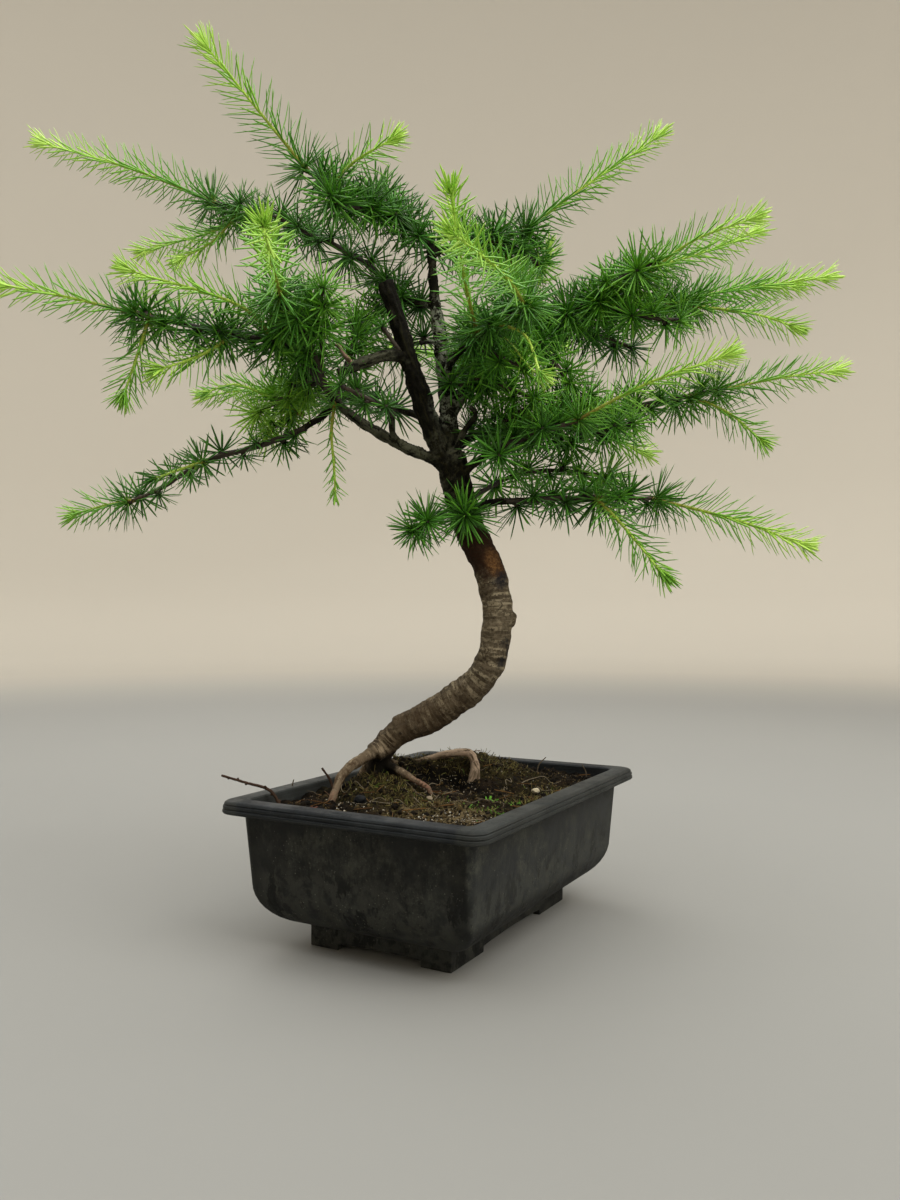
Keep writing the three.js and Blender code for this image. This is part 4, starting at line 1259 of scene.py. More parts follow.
MOSS_POINTS = (
    (-18, 39, 102), (-8, 44, 100), (12, 50, 98), (34, 48, 96), (40, 40, 92), (-36, -16, 92), (-28, -36, 86),
    (-50, -10, 91), (-50, 24, 92), (54, -30, 85), (70, -8, 85), (-12, -40, 86), (-30, 22, 104), (0, 37, 100),
)
# Spots of painted shade on the steep front face of the mound.
MOUND_SHADE_POINTS = ((-16, 17, 93), (-6, 18, 92), (4, 18, 92), (12, 14, 88), (-22, 8, 90))
TAN_POINTS = ((4, -58, 84), (-6, -40, 85), (12, -72, 84), (-20, -62, 85))
GREEN_POINTS = ((26, -60, 84), (30, -72, 83), (22, -50, 84), (44, -44, 84))
LEAF_POINTS = ((27, -26, 86), (30, -31, 86))
GRIT_POINTS = ((4, -90, 83), (-4, -82, 83), (14, -84, 83), (-8, -66, 84), (-60, -48, 85), (10, 20, 84))
CHIP_POINTS = ((-79, -57, 86), (-84, -54, 86), (-74, -58, 86))
ROOTLET_POINTS = ((-20, 0, 90), (0, -30, 85), (20, 20, 86))
GRASSES = (
    ((64, 60, 84), (66, 60, 92), (71, 61, 97)),
    ((97, 40, 82), (96.5, 40, 90), (94, 40, 95)),
    ((-97, -12, 82), (-98, -13, 90), (-97, -14, 94)),
)


@dataclass(frozen=True)
class SoilBed:
    """The mounded soil: its block, its crumbs, its grit, its moss and its thin rootlets."""

    edge_height: float = 82.5
    ripple: float = 0.9
    ripple_length: float = 17.0
    mounds: tuple[tuple[float, float, float, float], ...] = (
        (-42, -2, 13.5, 16), (18, 56, 16, 25), (60, 30, 3, 30), (8, 16, -6, 9), (-34, 22, 13, 10),
        (-22, 30, 7, 10), (-9, 35, 8, 10), (4, 38, 5, 9), (-30, -26, 3, 12),
    )
    lumps: Pairs = ((13.0, 3.2), (5.4, 2.6), (2.5, 1.5))
    half: Pair = (106.2, 74.2)
    margin: float = 4.0
    near_margin: float = 3.0
    corner: float = 6.0
    sinking: tuple[Point, ...] = ((0.041, 0.974, 0.964), (0.026, 0.93, 0.9), (0.0173, 0.78, 0.69))
    cells: tuple[int, int] = (210, 147)
    crumb_count: int = 4700
    fine_count: int = 2300
    clod_count: int = 120
    grit_count: int = 360
    moss_count: int = 1700
    green_count: int = 170
    leaf_count: int = 8
    rootlet_count: int = 24
    litter_count: int = 80

    def height(self, x: Array, y: Array) -> Array:
        """Gives the height of the ground.

        Args:
            x: Millimetres from the middle of the pot along its length.
            y: Millimetres from the middle of the pot along its width.

        Returns:
            Millimetres above the floor.
        """
        flat = np.stack([x, y, np.zeros_like(x)], axis=-1) @ TREE.turning
        ripples = np.sin(x / self.ripple_length) * np.cos((y + x / 2) / self.ripple_length)
        height = self.edge_height + self.ripple * ripples
        for centre_x, centre_y, rise, spread in self.mounds:
            square = (flat[..., 0] - centre_x) ** 2 + (flat[..., 1] - centre_y) ** 2
            height = height + rise * np.exp(-square / (2 * spread**2))
        total = np.zeros(np.size(x))
        for length, rise in self.lumps:
            places = zip(np.ravel(x), np.ravel(y), strict=True)
            total += [rise * noise.noise(Vector((u / length, v / length, length))) for u, v in places]
        return height + total.reshape(np.shape(x))

    def _ground(self, x: Array, y: Array) -> Array:
        """Gives places on the ground in the part's frame, from millimetres along the pot."""
        return TREE.middle + np.stack([x, y, self.height(x, y)], axis=-1) * MM

    def _block(self, earth: Skin) -> None:
        """Makes the block of soil: a rounded, lumpy sheet whose edge is drawn down to the floor.

        Args:
            earth: Its finish.
        """
        across, along = self.cells
        add = bpy.ops.mesh.primitive_grid_add
        block = start("soil_block", add, x_subdivisions=across, y_subdivisions=along, size=2.0)
        spots = places_of(block)
        half = np.array(self.half)
        flat = spots[:, :2] * half
        inner = half - self.corner
        over = np.maximum(np.abs(flat) - inner, 0.0)
        both = np.minimum(over[:, 0], over[:, 1]) > 0
        longest = over.max(axis=1)
        shrink = np.where(both, longest / np.maximum(np.hypot(over[:, 0], over[:, 1]), 1e-9), 1.0)
        flat = np.sign(flat) * (np.minimum(np.abs(flat), inner) + over * shrink[:, None])
        set_places(block, self._ground(flat[:, 0], flat[:, 1]))
        middle = TREE.middle
        with editing(block, "EDGE") as mesh:
            bpy.ops.mesh.select_all(action="DESELECT")
            bpy.ops.mesh.select_non_manifold()
            for level, wide, deep in self.sinking:
                bpy.ops.mesh.extrude_edges_move(TRANSFORM_OT_translate={"value": (0.0, 0.0, -MM)})
                for corner in [corner for corner in mesh.verts if corner.select]:
                    x, y, _ = corner.co
                    corner.co = (middle[0] + (x - middle[0]) * wide, middle[1] + (y - middle[1]) * deep, level)
            bpy.ops.mesh.edge_face_add()
            face_outwards()
            bpy.ops.mesh.faces_shade_smooth()
        settle(block, ["soil"], earth)

    def _flat(
        self, chance: Chance, count: int, points: Sequence[Point] = (), spread: float = 0.0
    ) -> tuple[Array, Array]:
        """Draws places on the soil.

        Args:
            chance: The random draws.
            count: How many.
            points: What they lie round, in the tree's frame; with none, they lie anywhere.
            spread: How far from it.

        Returns:
            Millimetres along the pot and across it.
        """
        if not points:
            return tuple(chance.uniform(-1, 1, count) * (half - self.margin) for half in self.half)
        chosen = np.asarray(points, float)[chance.integers(len(points), size=count)]
        chosen[:, :2] += chance.normal(0.0, spread, (count, 2))
        flat = (TREE.place(chosen) - TREE.middle) / MM
        most = np.array(self.half) - self.near_margin
        return tuple(np.clip(flat[:, :2], -most, most).T)

    def _crumbs(self, skins: Sequence[Skin]) -> None:
        """Makes the loose crumbs, grit and chips of bark.

        Args:
            skins: The finishes of those three.
        """
        chance = np.random.default_rng(SEED + 1)
        heap = Heap()
        crumb = Shape.lump("crumb", 1)
        plans = (
            (self.crumb_count, (), 0.0, (0.32, 0.5, 0.6, 4.5), 0.1, (0.0, 0.8), 0),
            (self.fine_count, (), 0.0, (-0.4, 0.3, 0.35, 1.2), -0.2, (0.45, 1.0), 0),
            (self.clod_count, (), 0.0, (1.7, 0.3, 3.0, 9.0), 0.2, (0.0, 0.45), 0),
            (self.grit_count, (), 0.0, (-0.45, 0.3, 0.35, 1.2), -0.1, (0.0, 0.8), 1),
            (self.grit_count, GRIT_POINTS, 9.0, (-0.3, 0.35, 0.4, 1.5), -0.1, (0.1, 1.0), 1),
            (len(CHIP_POINTS) * 3, CHIP_POINTS, 2.0, (1.3, 0.25, 2.0, 6.0), 0.1, (0.0, 1.0), 2),
        )
        for count, points, spread, (centre, wide, least, most), sunk, tints, slot in plans:
            sizes = np.clip(chance.lognormal(centre, wide, count), least, most)
            spots = self._ground(*self._flat(chance, count, points, spread))
            spots[:, 2] -= sizes * sunk * MM
            headings, sides = unit(chance.normal(size=(count, 3))), unit(chance.normal(size=(count, 3)))
            body = sizes[:, None] * chance.uniform(0.65, 1.2, (count, 3)) * MM
            heap.lay(crumb, spots, headings, sides, body.T, (0.0, chance.uniform(*tints, count)), slot)
        settle(heap.piece("soil_crumbs", skins))

    def _moss(self, blade: Shape, skin: Skin) -> None:
        """Makes the moss: short blades in olive tufts, and greener ones near the front corner.

        Args:
            blade: The shape of a blade.
            skin: Its finish.
        """
        chance = np.random.default_rng(SEED + 2)
        heap = Heap()
        plans = (
            (MOSS_POINTS, self.moss_count, 9.0, (0.0, 0.62), 4.4, 0.45),
            (GREEN_POINTS, self.green_count, 6.0, (0.5, 0.86), 3.0, 0.8),
            (LEAF_POINTS, self.leaf_count, 1.8, (0.82, 0.97), 3.4, 1.7),
        )
        for points, count, spread, ages, tall, wide in plans:
            spots = self._ground(*self._flat(chance, count, points, spread)) - UP * 0.4 * MM
            headings = unit(chance.normal(0.0, 1.0, (count, 3)) + UP * 0.3)
            headings[:, 2] = np.abs(headings[:, 2])
            sides = unit(chance.normal(size=(count, 3)))
            sizes = (0.35 * MM, wide * MM, chance.uniform(0.5, 1.25, count) * tall * MM)
            growth = (chance.uniform(*ages, count), chance.uniform(0, 1, count))
            heap.lay(blade, spots, headings, sides, sizes, growth, 0, chance.uniform(-0.3, 0.5, count))
        settle(heap.piece("soil_moss", [skin]))

    def _litter(self, needle: Shape, skins: Sequence[Skin]) -> None:
        """Makes the thin rootlets, the dry grass and the fallen brown needles that lie on the soil.

        Args:
            needle: The shape of a needle.
            skins: The finishes of rootlets and of needles.
        """
        chance = np.random.default_rng(SEED + 3)
        heap = Heap()
        count = self.litter_count
        spots = self._ground(*self._flat(chance, count)) + UP * 0.9 * MM
        headings = unit(chance.normal(size=(count, 3)) * [1.0, 1.0, 0.12])
        sides = UP + chance.normal(0.0, 0.3, (count, 3))
        sizes = (0.7 * MM, 0.4 * MM, chance.uniform(9, 19, count) * MM)
        growth = (0.0, chance.uniform(0, 1, count))
        heap.lay(needle, spots, headings, sides, sizes, growth, 1, chance.uniform(-0.06, 0.02, count))
        for stick in GRASSES:
            heap.tube(Course(stick), 14, (0.6, 0.35), 6, (0.0, 0.0), 0.1)
        for order in range(self.rootlet_count):
            x, y = self._flat(chance, 1, ROOTLET_POINTS, 30.0)
            way = chance.uniform(0, 2 * math.pi)
            trail = []
            for _ in range(6):
                trail.append(self._ground(x, y)[0] + UP * chance.uniform(0.2, 2.2) * MM)
                way += chance.normal(0.0, 0.7)
                x, y = x + math.cos(way) * 6, y + math.sin(way) * 6
            course = Course(TREE.point(np.array(trail)))
            heap.tube(course, 26, (0.3, 0.13), 5, (0.0, 0.0), 0.3 + 0.6 * (order % 3) / 2)
        settle(heap.piece("soil_litter", skins))

    def build(self, needle: Shape) -> None:
        """Builds and dresses the soil and all that lies on it.

        Args:
            needle: The shape of a needle, for moss and litter.
        """
        patches = (MOSS_POINTS, TAN_POINTS, MOUND_SHADE_POINTS)
        earth = Earth().material(*([TREE.place(point) for point in points] for points in patches))
        crumb_stops = ((0.0, "060504"), (0.45, "19130b"), (0.72, "4a3d24"), (1.0, "8c7c59"))
        crumb = Grain("soil_crumb", crumb_stops, 500.0, 0.95)
        grit = Grain("pale_grit", ((0.0, "5f574a"), (0.5, "98907f"), (1.0, "d6d1c4")), 400.0, 0.8)
        chip = Grain("red_chip", ((0.0, "2e1710"), (1.0, "6b3a28")), 400.0, 0.8)
        moss_stops = ((0.0, "15110a"), (0.22, "3e3417"), (0.55, "7c7043"), (0.8, "3b5814"), (1.0, "62a033"))
        moss = Needles("moss_green", moss_stops, "14100a", "39401a", shine=0.1)
        rootlet = Grain("rootlet_skin", ((0.0, "3e3327"), (1.0, "857a66")), 500.0, 0.8)
        fallen = Grain("fallen_needle", ((0.0, "3a2412"), (1.0, "775730")), 500.0, 0.7)
        self._block(earth)
        self._crumbs([crumb.material(), grit.material(), chip.material()])
        self._moss(needle, moss.material())
        self._litter(needle, [rootlet.material(), fallen.material()])


@dataclass(frozen=True)
class Pebble:
    """A loose stone on the soil."""

    name: str
    point: Point
    radius: float
    roll: float
    stops: Stops
    shape: Point = (1.0, 0.8, 0.7)

    def build(self) -> None:
        """Builds and dresses the stone."""
        stone = start(f"{self.name}_stone", bpy.ops.mesh.primitive_ico_sphere_add, subdivisions=4, radius=1.0)
        spots = places_of(stone)
        dents = np.array([noise.noise(Vector(s) * 1.3 + Vector((self.roll, 0, 0))) for s in spots])
        chips = np.array([noise.noise(Vector(s) * 4.0) for s in spots])
        spots = spots * (1 + 0.22 * dents + 0.05 * chips)[:, None] * np.array(self.shape)
        cos, sin = math.cos(self.roll), math.sin(self.roll)
        spots = spots @ np.array([[cos, sin, 0], [-sin, cos, 0], [0, 0, 1.0]])
        set_places(stone, TREE.place(np.array(self.point) + spots * self.radius))
        keep_vectors(stone, "growth", np.tile([0.0, 0.0, 0.5], (len(spots), 1)))
        bpy.ops.object.shade_smooth()
        settle(stone, [self.name], Grain(f"{self.name}_skin", self.stops, 350.0, 0.7).material())


PEBBLES = (
    Pebble("pebble_pale", (58, -6, 85.4), 2.9, 0.4, ((0.0, "857a64"), (1.0, "cabfa2")), (1.0, 0.8, 0.6)),
    Pebble("pebble_middle", (-10, -34, 86), 2.4, 1.7, ((0.0, "6a5c4a"), (1.0, "a39680")), (1.0, 0.8, 0.6)),
    Pebble("pebble_dark", (-52, -42, 86.4), 4.2, 2.9, ((0.0, "050507"), (1.0, "1d1f21"))),
)


# Wood ------------------------


@dataclass(frozen=True)
class Limb:
    """A piece of wood: its radii at both ends and the points of its course, in millimetres."""

    radii: Pair
    points: tuple[Point, ...]


TRUNK = Limb(
    (9.6, 10.1),
    (
        (-31, 1, 123.5), (-19, -1, 129), (-4, -3, 137), (25, -10, 162), (33, -12, 196), (28, -7, 227),
        (16, -1, 254), (6, 0, 288), (3, 0, 304),
    ),
)
ROOTS = (
    Limb((9.4, 6.6), ((-19, -1, 129), (-30.5, 0.5, 122.5), (-37.5, 1, 116), (-42.5, 0, 111.5), (-47, -3, 109))),
    Limb((8.6, 6.0), ((-36, 2, 119), (-41, 4, 111), (-44.5, 5, 101), (-45, 5, 86))),
    Limb(
        (4.4, 1.9),
        ((-44, -1, 111), (-51.4, -6, 107.5), (-57.1, -11, 105), (-61.9, -17, 101.7), (-66.1, -23, 97.3),
         (-67.9, -28, 92.2), (-70, -35, 85.8), (-71.5, -38, 77)),
    ),
    Limb((3.4, 2.6), ((-46, 4, 107), (-50, 6, 103), (-53, 8, 98), (-55.5, 10, 93), (-58, 12, 87.5), (-60, 13, 78))),
    Limb((3.4, 2.5), ((-40, 4, 103.5), (-37.7, 2, 100.5), (-32.6, -1, 98.5), (-27.5, -4, 96.6))),
    Limb((2.4, 1.6), ((-29, -3, 97.2), (-21.9, -7, 93.4), (-16.2, -10, 90.8), (-11.3, -12, 87.9), (-8, -13, 79))),
    Limb(
        (1.6, 3.4),
        ((-38, 8, 103), (-30, 21, 98.5), (-21, 31, 98), (-9, 31, 101.2), (-3, 30.5, 103), (4, 30, 104.2),
         (11, 30, 105), (15.6, 29.5, 104.6), (18.2, 28.5, 102), (19.5, 27.5, 98.2), (19.6, 26, 94),
         (18.2, 24, 89.6), (16.3, 21.5, 84.5), (15, 19, 76)),
    ),
    Limb((1.1, 0.9), ((19.6, 26, 97), (21.8, 25, 92), (22.4, 24, 86), (22.4, 24, 78))),
)
LEADERS = (
    Limb((7.4, 5.0), ((3, 0, 294), (-8, -3, 317), (-19, -7, 348), (-32, -10, 392), (-39, -10, 413))),
    Limb((6.6, 4.8), ((3, 1, 296), (2, 4, 320), (-1, 8, 361), (-4, 9, 383))),
    Limb((6.2, 2.4), ((2, 4, 320), (-1, 8, 361), (-7, 10, 405), (-11, 8, 449))),
)
LIMBS = (
    Limb((4.3, 2.8), ((-26, -8, 366), (-39, -16, 364), (-68, -26, 351))),
    Limb((3, 1.5), ((4, -1, 300), (12, -13, 317), (19, -19, 326), (15, -22, 331))),
    Limb((1.9, 1.3), ((-4, 8, 378), (-10, -3, 377), (-17, -11, 373))),
    Limb((2, 1.4), ((-1, 8, 371), (4, 0, 370), (11, -6, 369))),
    Limb((4.2, 2.4), ((-2, -1, 298), (-33, -12, 310), (-64, -20, 329), (-80, -26, 348))),
    Limb((2.6, 2.1), ((-69, -22, 335), (-78, -14, 327), (-93, -6, 319))),
    Limb((3, 2.3), ((-7, 10, 405), (-18, 15, 407), (-31, 22, 414))),
    Limb((2.4, 2), ((-11, 8, 445), (-23, 6, 455), (-47, 0, 465))),
    Limb((2.4, 2), ((-10, 8, 437), (3, 12, 445), (16, 16, 450))),
    Limb((5.4, 2.9), ((1, 5, 331), (13, 11, 347), (36, 26, 374))),
    Limb((3.6, 2.3), ((4, 2, 307), (18, 14, 318), (36, 24, 324))),
    Limb((3.2, 2.2), ((6, -1, 284), (19, -10, 297), (37, -20, 306))),
    Limb((3, 2.2), ((12, -1, 266), (28, -9, 271), (40, -10, 272))),
    Limb((2.2, 1.8), ((12, 0, 262), (0, -9, 263), (-8, -15, 260))),
    Limb((3.4, 2.2), ((1, 7, 341), (7, 45, 364), (14, 72, 379))),
    Limb((3.2, 2.2), ((3, 4, 314), (-18, 28, 334), (-34, 42, 342))),
    Limb((2.2, 1.9), ((-30, -11, 309), (-34, -20, 315), (-34, -30, 324))),
    Limb((2.8, 2.1), ((-1, 8, 357), (5, -10, 364), (14, -24, 369))),
)
WOOD = (TRUNK, *ROOTS, *LEADERS, *LIMBS)
BUMPS = (
    ((42, -12, 195), 3.2), ((43.5, -12, 198), 2.2), ((-22, -7, 128), 4.6), ((14, -12, 148), 4.6),
    ((33, -12, 219), 4.6),
    ((-17, -1.3, 129.8), 8.2), ((-12, -2, 132.3), 8.5), ((-7, -2.7, 134.9), 8.8), ((-2, -3.4, 138.2), 9.0),
    ((3, -4.4, 141.8), 9.0), ((8, -5.5, 145.5), 8.9), ((13, -6.8, 149.2), 8.7), ((18, -8.2, 153.2), 8.5),
    ((22, -9.2, 157.5), 8.3),
)
MARKS = {
    "knots": ((36, -16, 224), (34, -17, 219), (38, -17, 181), (40, -14, 174), (36, -19, 168)),
    "wrinkles": ((-46, -4, 113), (-40, -6, 117)),
    "lichen": ((-1, 3, 364), (-3, 4, 376), (0, 1, 352), (-5, 5, 396), (2, -2, 334), (13, 8, 350)),
    "rust": ((33, -17, 229), (30, -16, 236)),
    # Spots of painted shade in the root core under the trunk.
    "root_core_shade": ((-44, -2, 101), (-40, -2, 97), (-48, -3, 97), (-45, -4, 92), (-38, 2, 102)),
    "grey": (
        (-20, -8, 305), (-33, -12, 311), (-48, -16, 320), (-62, -20, 330), (-74, -24, 343), (-39, -16, 366),
        (-52, -20, 360), (-66, -25, 353), (13, 11, 349), (24, 18, 362), (36, 26, 375), (8, -8, 308),
    ),
    "soot": ((-12, -6, 330), (-20, -8, 350), (-26, -9, 372), (-32, -10, 392), (-38, -10, 410)),
    "bleached": ((-3, 30, 104), (9, 30, 106), (19, 28, 102), (20, 25, 93)),
    "pink": ((-71, -36, 84), (-17, -10, 91), (-11, -12, 87)),
}


@dataclass(frozen=True)
class Timber:
    """The tree's wood, grown together: roots, trunk, leaders, limbs and dead stubs."""

    voxel: float = 0.0009
    sample: float = 0.0015
    stretch: float = 1.3
    old_heights: Pair = (0.250, 0.285)
    thin_radii: Pair = (0.001, 0.005)
    ring_height: float = 0.00020
    ridge_height: float = 0.0024
    lump_height: float = 0.0010
    grain_sample: float = 0.002
    grain_shift: float = 0.37

    def _rod(self, limb: Limb) -> Piece:
        """Makes a tapering round rod.

        Args:
            limb: Its course and its radii.

        Returns:
            The rod.
        """
        course = Course(limb.points)
        count = max(4, int(course.length / self.sample))
        far = np.linspace(0, course.length, count)
        shape = bpy.data.curves.new("rod", "CURVE")
        shape.dimensions = "3D"
        shape.bevel_depth = 1.0
        shape.bevel_resolution = 6
        shape.use_fill_caps = True
        line = shape.splines.new("POLY")
        line.points.add(count - 1)
        for point, spot, radius in zip(line.points, course.at(far), np.linspace(*limb.radii, count), strict=True):
            point.co = (*spot, 1.0)
            point.radius = radius * MM
        return linked("rod", shape)

    def _merged(self) -> Piece:
        """Joins the rods and lets them flow into each other.

        Returns:
            The wood, still without its bark.
        """
        scale = (1.0, 1.0, self.stretch)
        add = bpy.ops.mesh.primitive_ico_sphere_add
        lumps = [
            start("lump", add, subdivisions=3, radius=radius * MM, location=TREE.place(point), scale=scale)
            for point, radius in BUMPS
        ]
        rods = [self._rod(limb) for limb in WOOD]
        pick(*rods)
        bpy.ops.object.convert(target="MESH")
        pick(*rods, *lumps)
        bpy.ops.object.join()
        wood = rods[0]
        wood.name = wood.data.name = "larch_wood"
        to_origin(wood)
        apply_modifier(wood, "REMESH", mode="VOXEL", voxel_size=self.voxel, use_smooth_shade=True)
        apply_modifier(wood, "SMOOTH", factor=0.5, iterations=4)
        return wood

    def _grain(self, spots: Array) -> Array:
        """Unrolls the wood: two numbers round each limb and the distance along it, in metres.

        Args:
            spots: Places on the wood.

        Returns:
            Three numbers for each place.
        """
        samples = []
        for order, limb in enumerate(WOOD):
            course = Course(limb.points)
            far = np.linspace(0, course.length, max(6, int(course.length / self.grain_sample)))
            _, sides, ups = course.frames(far)
            samples.append(np.hstack([course.at(far), sides, ups, far[:, None] + order * self.grain_shift]))
        table = np.vstack(samples)
        tree = KDTree(len(table))
        for index, row in enumerate(table):
            tree.insert(row[:3], index)
        tree.balance()
        nearest = table[[tree.find(spot)[1] for spot in spots]]
        reach = spots - nearest[:, :3]
        across = [(reach * nearest[:, begin : begin + 3]).sum(1) for begin in (3, 6)]
        return np.stack([*across, nearest[:, 9]], axis=-1)

    def _relief(self, spots: Array, grain: Array) -> Array:
        """Gives how far the bark stands out.

        Args:
            spots: Places on the wood.
            grain: Their places in the grain.

        Returns:
            Metres for each place.
        """
        old = share_between(spots[:, 2], *self.old_heights)
        rings = np.array([noise.noise(Vector((g[0] * 60, g[1] * 60, g[2] * 620))) for g in grain])
        ridges = np.array([noise.noise(Vector((g[0] * 330, g[1] * 330, g[2] * 85))) for g in grain])
        lumps = np.array([noise.noise(Vector(s) * 110) + 0.5 * noise.noise(Vector(s) * 300) for s in spots])
        thick = share_between(np.hypot(grain[:, 0], grain[:, 1]), *self.thin_radii)
        young = self.ring_height * rings * (1 - old)
        rough = self.ridge_height * (0.22 - np.abs(ridges)) * (0.12 + 0.88 * old)
        return young + (rough + self.lump_height * lumps) * (0.3 + 0.7 * thick)

    def build(self, bark: Skin) -> None:
        """Builds and dresses the wood.

        Args:
            bark: Its bark.
        """
        wood = self._merged()
        spots = places_of(wood)
        grain = self._grain(spots)
        set_places(wood, spots + places_of(wood, "normal") * self._relief(spots, grain)[:, None])
        keep_vectors(wood, "grain", grain)
        settle(wood, ["tree"], bark)


@dataclass(frozen=True)
class DryTwig:
    """A dead twig: a thin, crooked stick with buds."""

    name: str
    radii: Pair
    points: tuple[Point, ...]
    sides: int = 8
    step: float = 1.2
    bud_step: float = 6.0
    first_bud: float = 4.0

    def build(self, knob: Shape, bark: Skin, slot: Slot, stands_for: Sequence[str]) -> None:
        """Builds and dresses the twig.

        Args:
            knob: The shape of a bud.
            bark: Its bark.
            slot: The material slot meant for its finish; not used.
            stands_for: The part's nodes that it replaces.
        """
        chance = np.random.default_rng(SEED + len(self.name))
        course = Course(self.points)
        count = max(8, int(course.length / (self.step * MM)))
        heap = Heap()
        relief = chance.uniform(0.86, 1.16, (count, self.sides))
        heap.tube(course, count, self.radii, self.sides, (0.2, 0.6), 0.5, relief)
        buds = np.arange(self.first_bud * MM, course.length, self.bud_step * MM)
        headings, sides, ups = course.frames(buds)
        ways = unit(around(np.arange(len(buds)) * GOLDEN_ANGLE, sides, ups) + headings * 0.8)
        size = np.interp(buds, (0.0, course.length), self.radii) * MM
        heap.lay(knob, course.at(buds), ways, headings, (size * 1.5, size * 1.5, size * 2.4), (0.5, 0.4), 0)
        settle(heap.piece(f"{self.name}_stick", [bark]), stands_for)


DRY_TWIGS = (
    DryTwig("dry_twig_corner", (1.1, 0.7), ((-97, -46, 76), (-106, -44, 92), (-122, -42, 97), (-137, -40, 101))),
    DryTwig("dry_twig_left", (0.9, 0.7), ((-73, -2, 77), (-75, 0, 90), (-81, 1, 99))),
)
DEAD_SPUR = DryTwig("dead_spur", (1.6, 1.1), ((-58, -22, 356), (-64, -24, 363), (-69, -22, 372)))

# Foliage ------------------------


@dataclass(frozen=True)
class Shapes:
    """The small shapes that the foliage repeats."""

    needle: Shape
    knob: Shape


@dataclass(frozen=True)
class Growing:
    """A spray as it grows: its mesh, the shapes that it repeats, its course and its random draws."""

    heap: Heap
    shapes: Shapes
    course: Course
    chance: Chance

    def needles(
        self, roots: Array, ways: Array, sides: Array, wide: Array | float, long: Array, ages: Array,
        bend: Pair,
    ) -> None:
        """Lays needles.

        Args:
            roots: Where they stand.
            ways: Where they point.
            sides: The ways that they bend.
            wide: Their widths.
            long: Their lengths.
            ages: How young they look.
            bend: Mean and spread of their bends.
        """
        count = len(ages)
        growth = (np.clip(ages, 0, 1), self.chance.uniform(0, 1, count))
        sizes = (wide * NEEDLE_FLATNESS, wide, long)
        bends = self.chance.normal(*bend, count)
        self.heap.lay(self.shapes.needle, roots, ways, sides, sizes, growth, 1, bends)


@dataclass(frozen=True)
class Rosette:
    """A spur shoot: a ringed knob with a burst of needles."""

    needles: int
    length: float
    knob: float = 3.4
    knob_height: float = 3.6
    sunk: float = 0.8
    closest: float = math.radians(8)
    widest: float = math.radians(104)
    short_share: float = 0.15

    def grow(self, growing: Growing, spot: Array, axis: Array, age: float, vigour: float) -> None:
        """Grows one rosette.

        Args:
            growing: The spray that it belongs to.
            spot: Where its knob stands.
            axis: The way that it faces.
            age: How young its needles look, from 0 to 1.
            vigour: Its size.
        """
        chance = growing.chance
        count = round(self.needles * min(1.0, 0.6 + 0.4 * vigour))
        order = np.arange(count)
        across = unit(np.cross(axis, chance.normal(size=3)))
        turns = order * GOLDEN_ANGLE + chance.uniform(0, 6)
        out = around(turns, across, np.cross(axis, across))
        lean = self.closest + (self.widest - self.closest) * np.sqrt((order + 0.5) / count)
        lean = lean + chance.normal(0.0, 0.1, count)
        top = spot + axis * self.knob_height * self.sunk * MM
        spots = top + out * (np.sin(lean) * MM)[:, None]
        long = self.length * vigour * chance.uniform(0.76, 1.02, count) * MM
        long = long * np.where(order < count * self.short_share, 0.8, 1.0)
        wide = NEEDLE_WIDTH * chance.uniform(0.85, 1.1, count) * MM
        ages = age + chance.normal(0.0, 0.035, count) - 0.05 * lean
        growing.needles(spots, unit(around(lean, axis, out)), out, wide, long, ages, (0.03, 0.06))
        knob = np.array([self.knob, self.knob, self.knob_height]) * MM * (0.85 + 0.15 * vigour)
        growing.heap.lay(growing.shapes.knob, spot[None], axis[None], across[None], knob, (0.1, 0.4), 0)


@dataclass(frozen=True)
class Spray:
    """A stem with needles on it."""

    name: str
    points: tuple[Point, ...]
    radius: float = 1.5
    tip_radius: float = 1.3
    lead: float = 2.5
    sides: int = 9

    SLOT = Slot.OLD_NEEDLES
    SEEDS = SEED + 100
    BUMPS = (0.88, 1.14)
    AGES = (0.0, 0.3)

    def build(self, order: int, shapes: Shapes, skins: Sequence[Skin], stands_for: Sequence[str]) -> None:
        """Builds and dresses the spray.

        Args:
            order: Its place among its kind, for its random draws.
            shapes: The shapes that it repeats.
            skins: Its bark and its needles.
            stands_for: The part's nodes that it replaces.
        """
        chance = np.random.default_rng(self.SEEDS + order)
        course = Course(self.points, self.lead)
        heap = Heap()
        count = max(8, int(course.length / (2 * MM)))
        relief = chance.uniform(*self.BUMPS, (count, self.sides))
        radii = (self.radius, self.tip_radius)
        heap.tube(course, count, radii, self.sides, self.AGES, chance.uniform(0, 1), relief)
        self.leaf(Growing(heap, shapes, course, chance), order)
        settle(heap.piece(f"{self.name}_spray", skins), stands_for)

    def leaf(self, growing: Growing, order: int) -> None:
        """Sets the needles, which each kind of spray does in its own way."""
        raise NotImplementedError


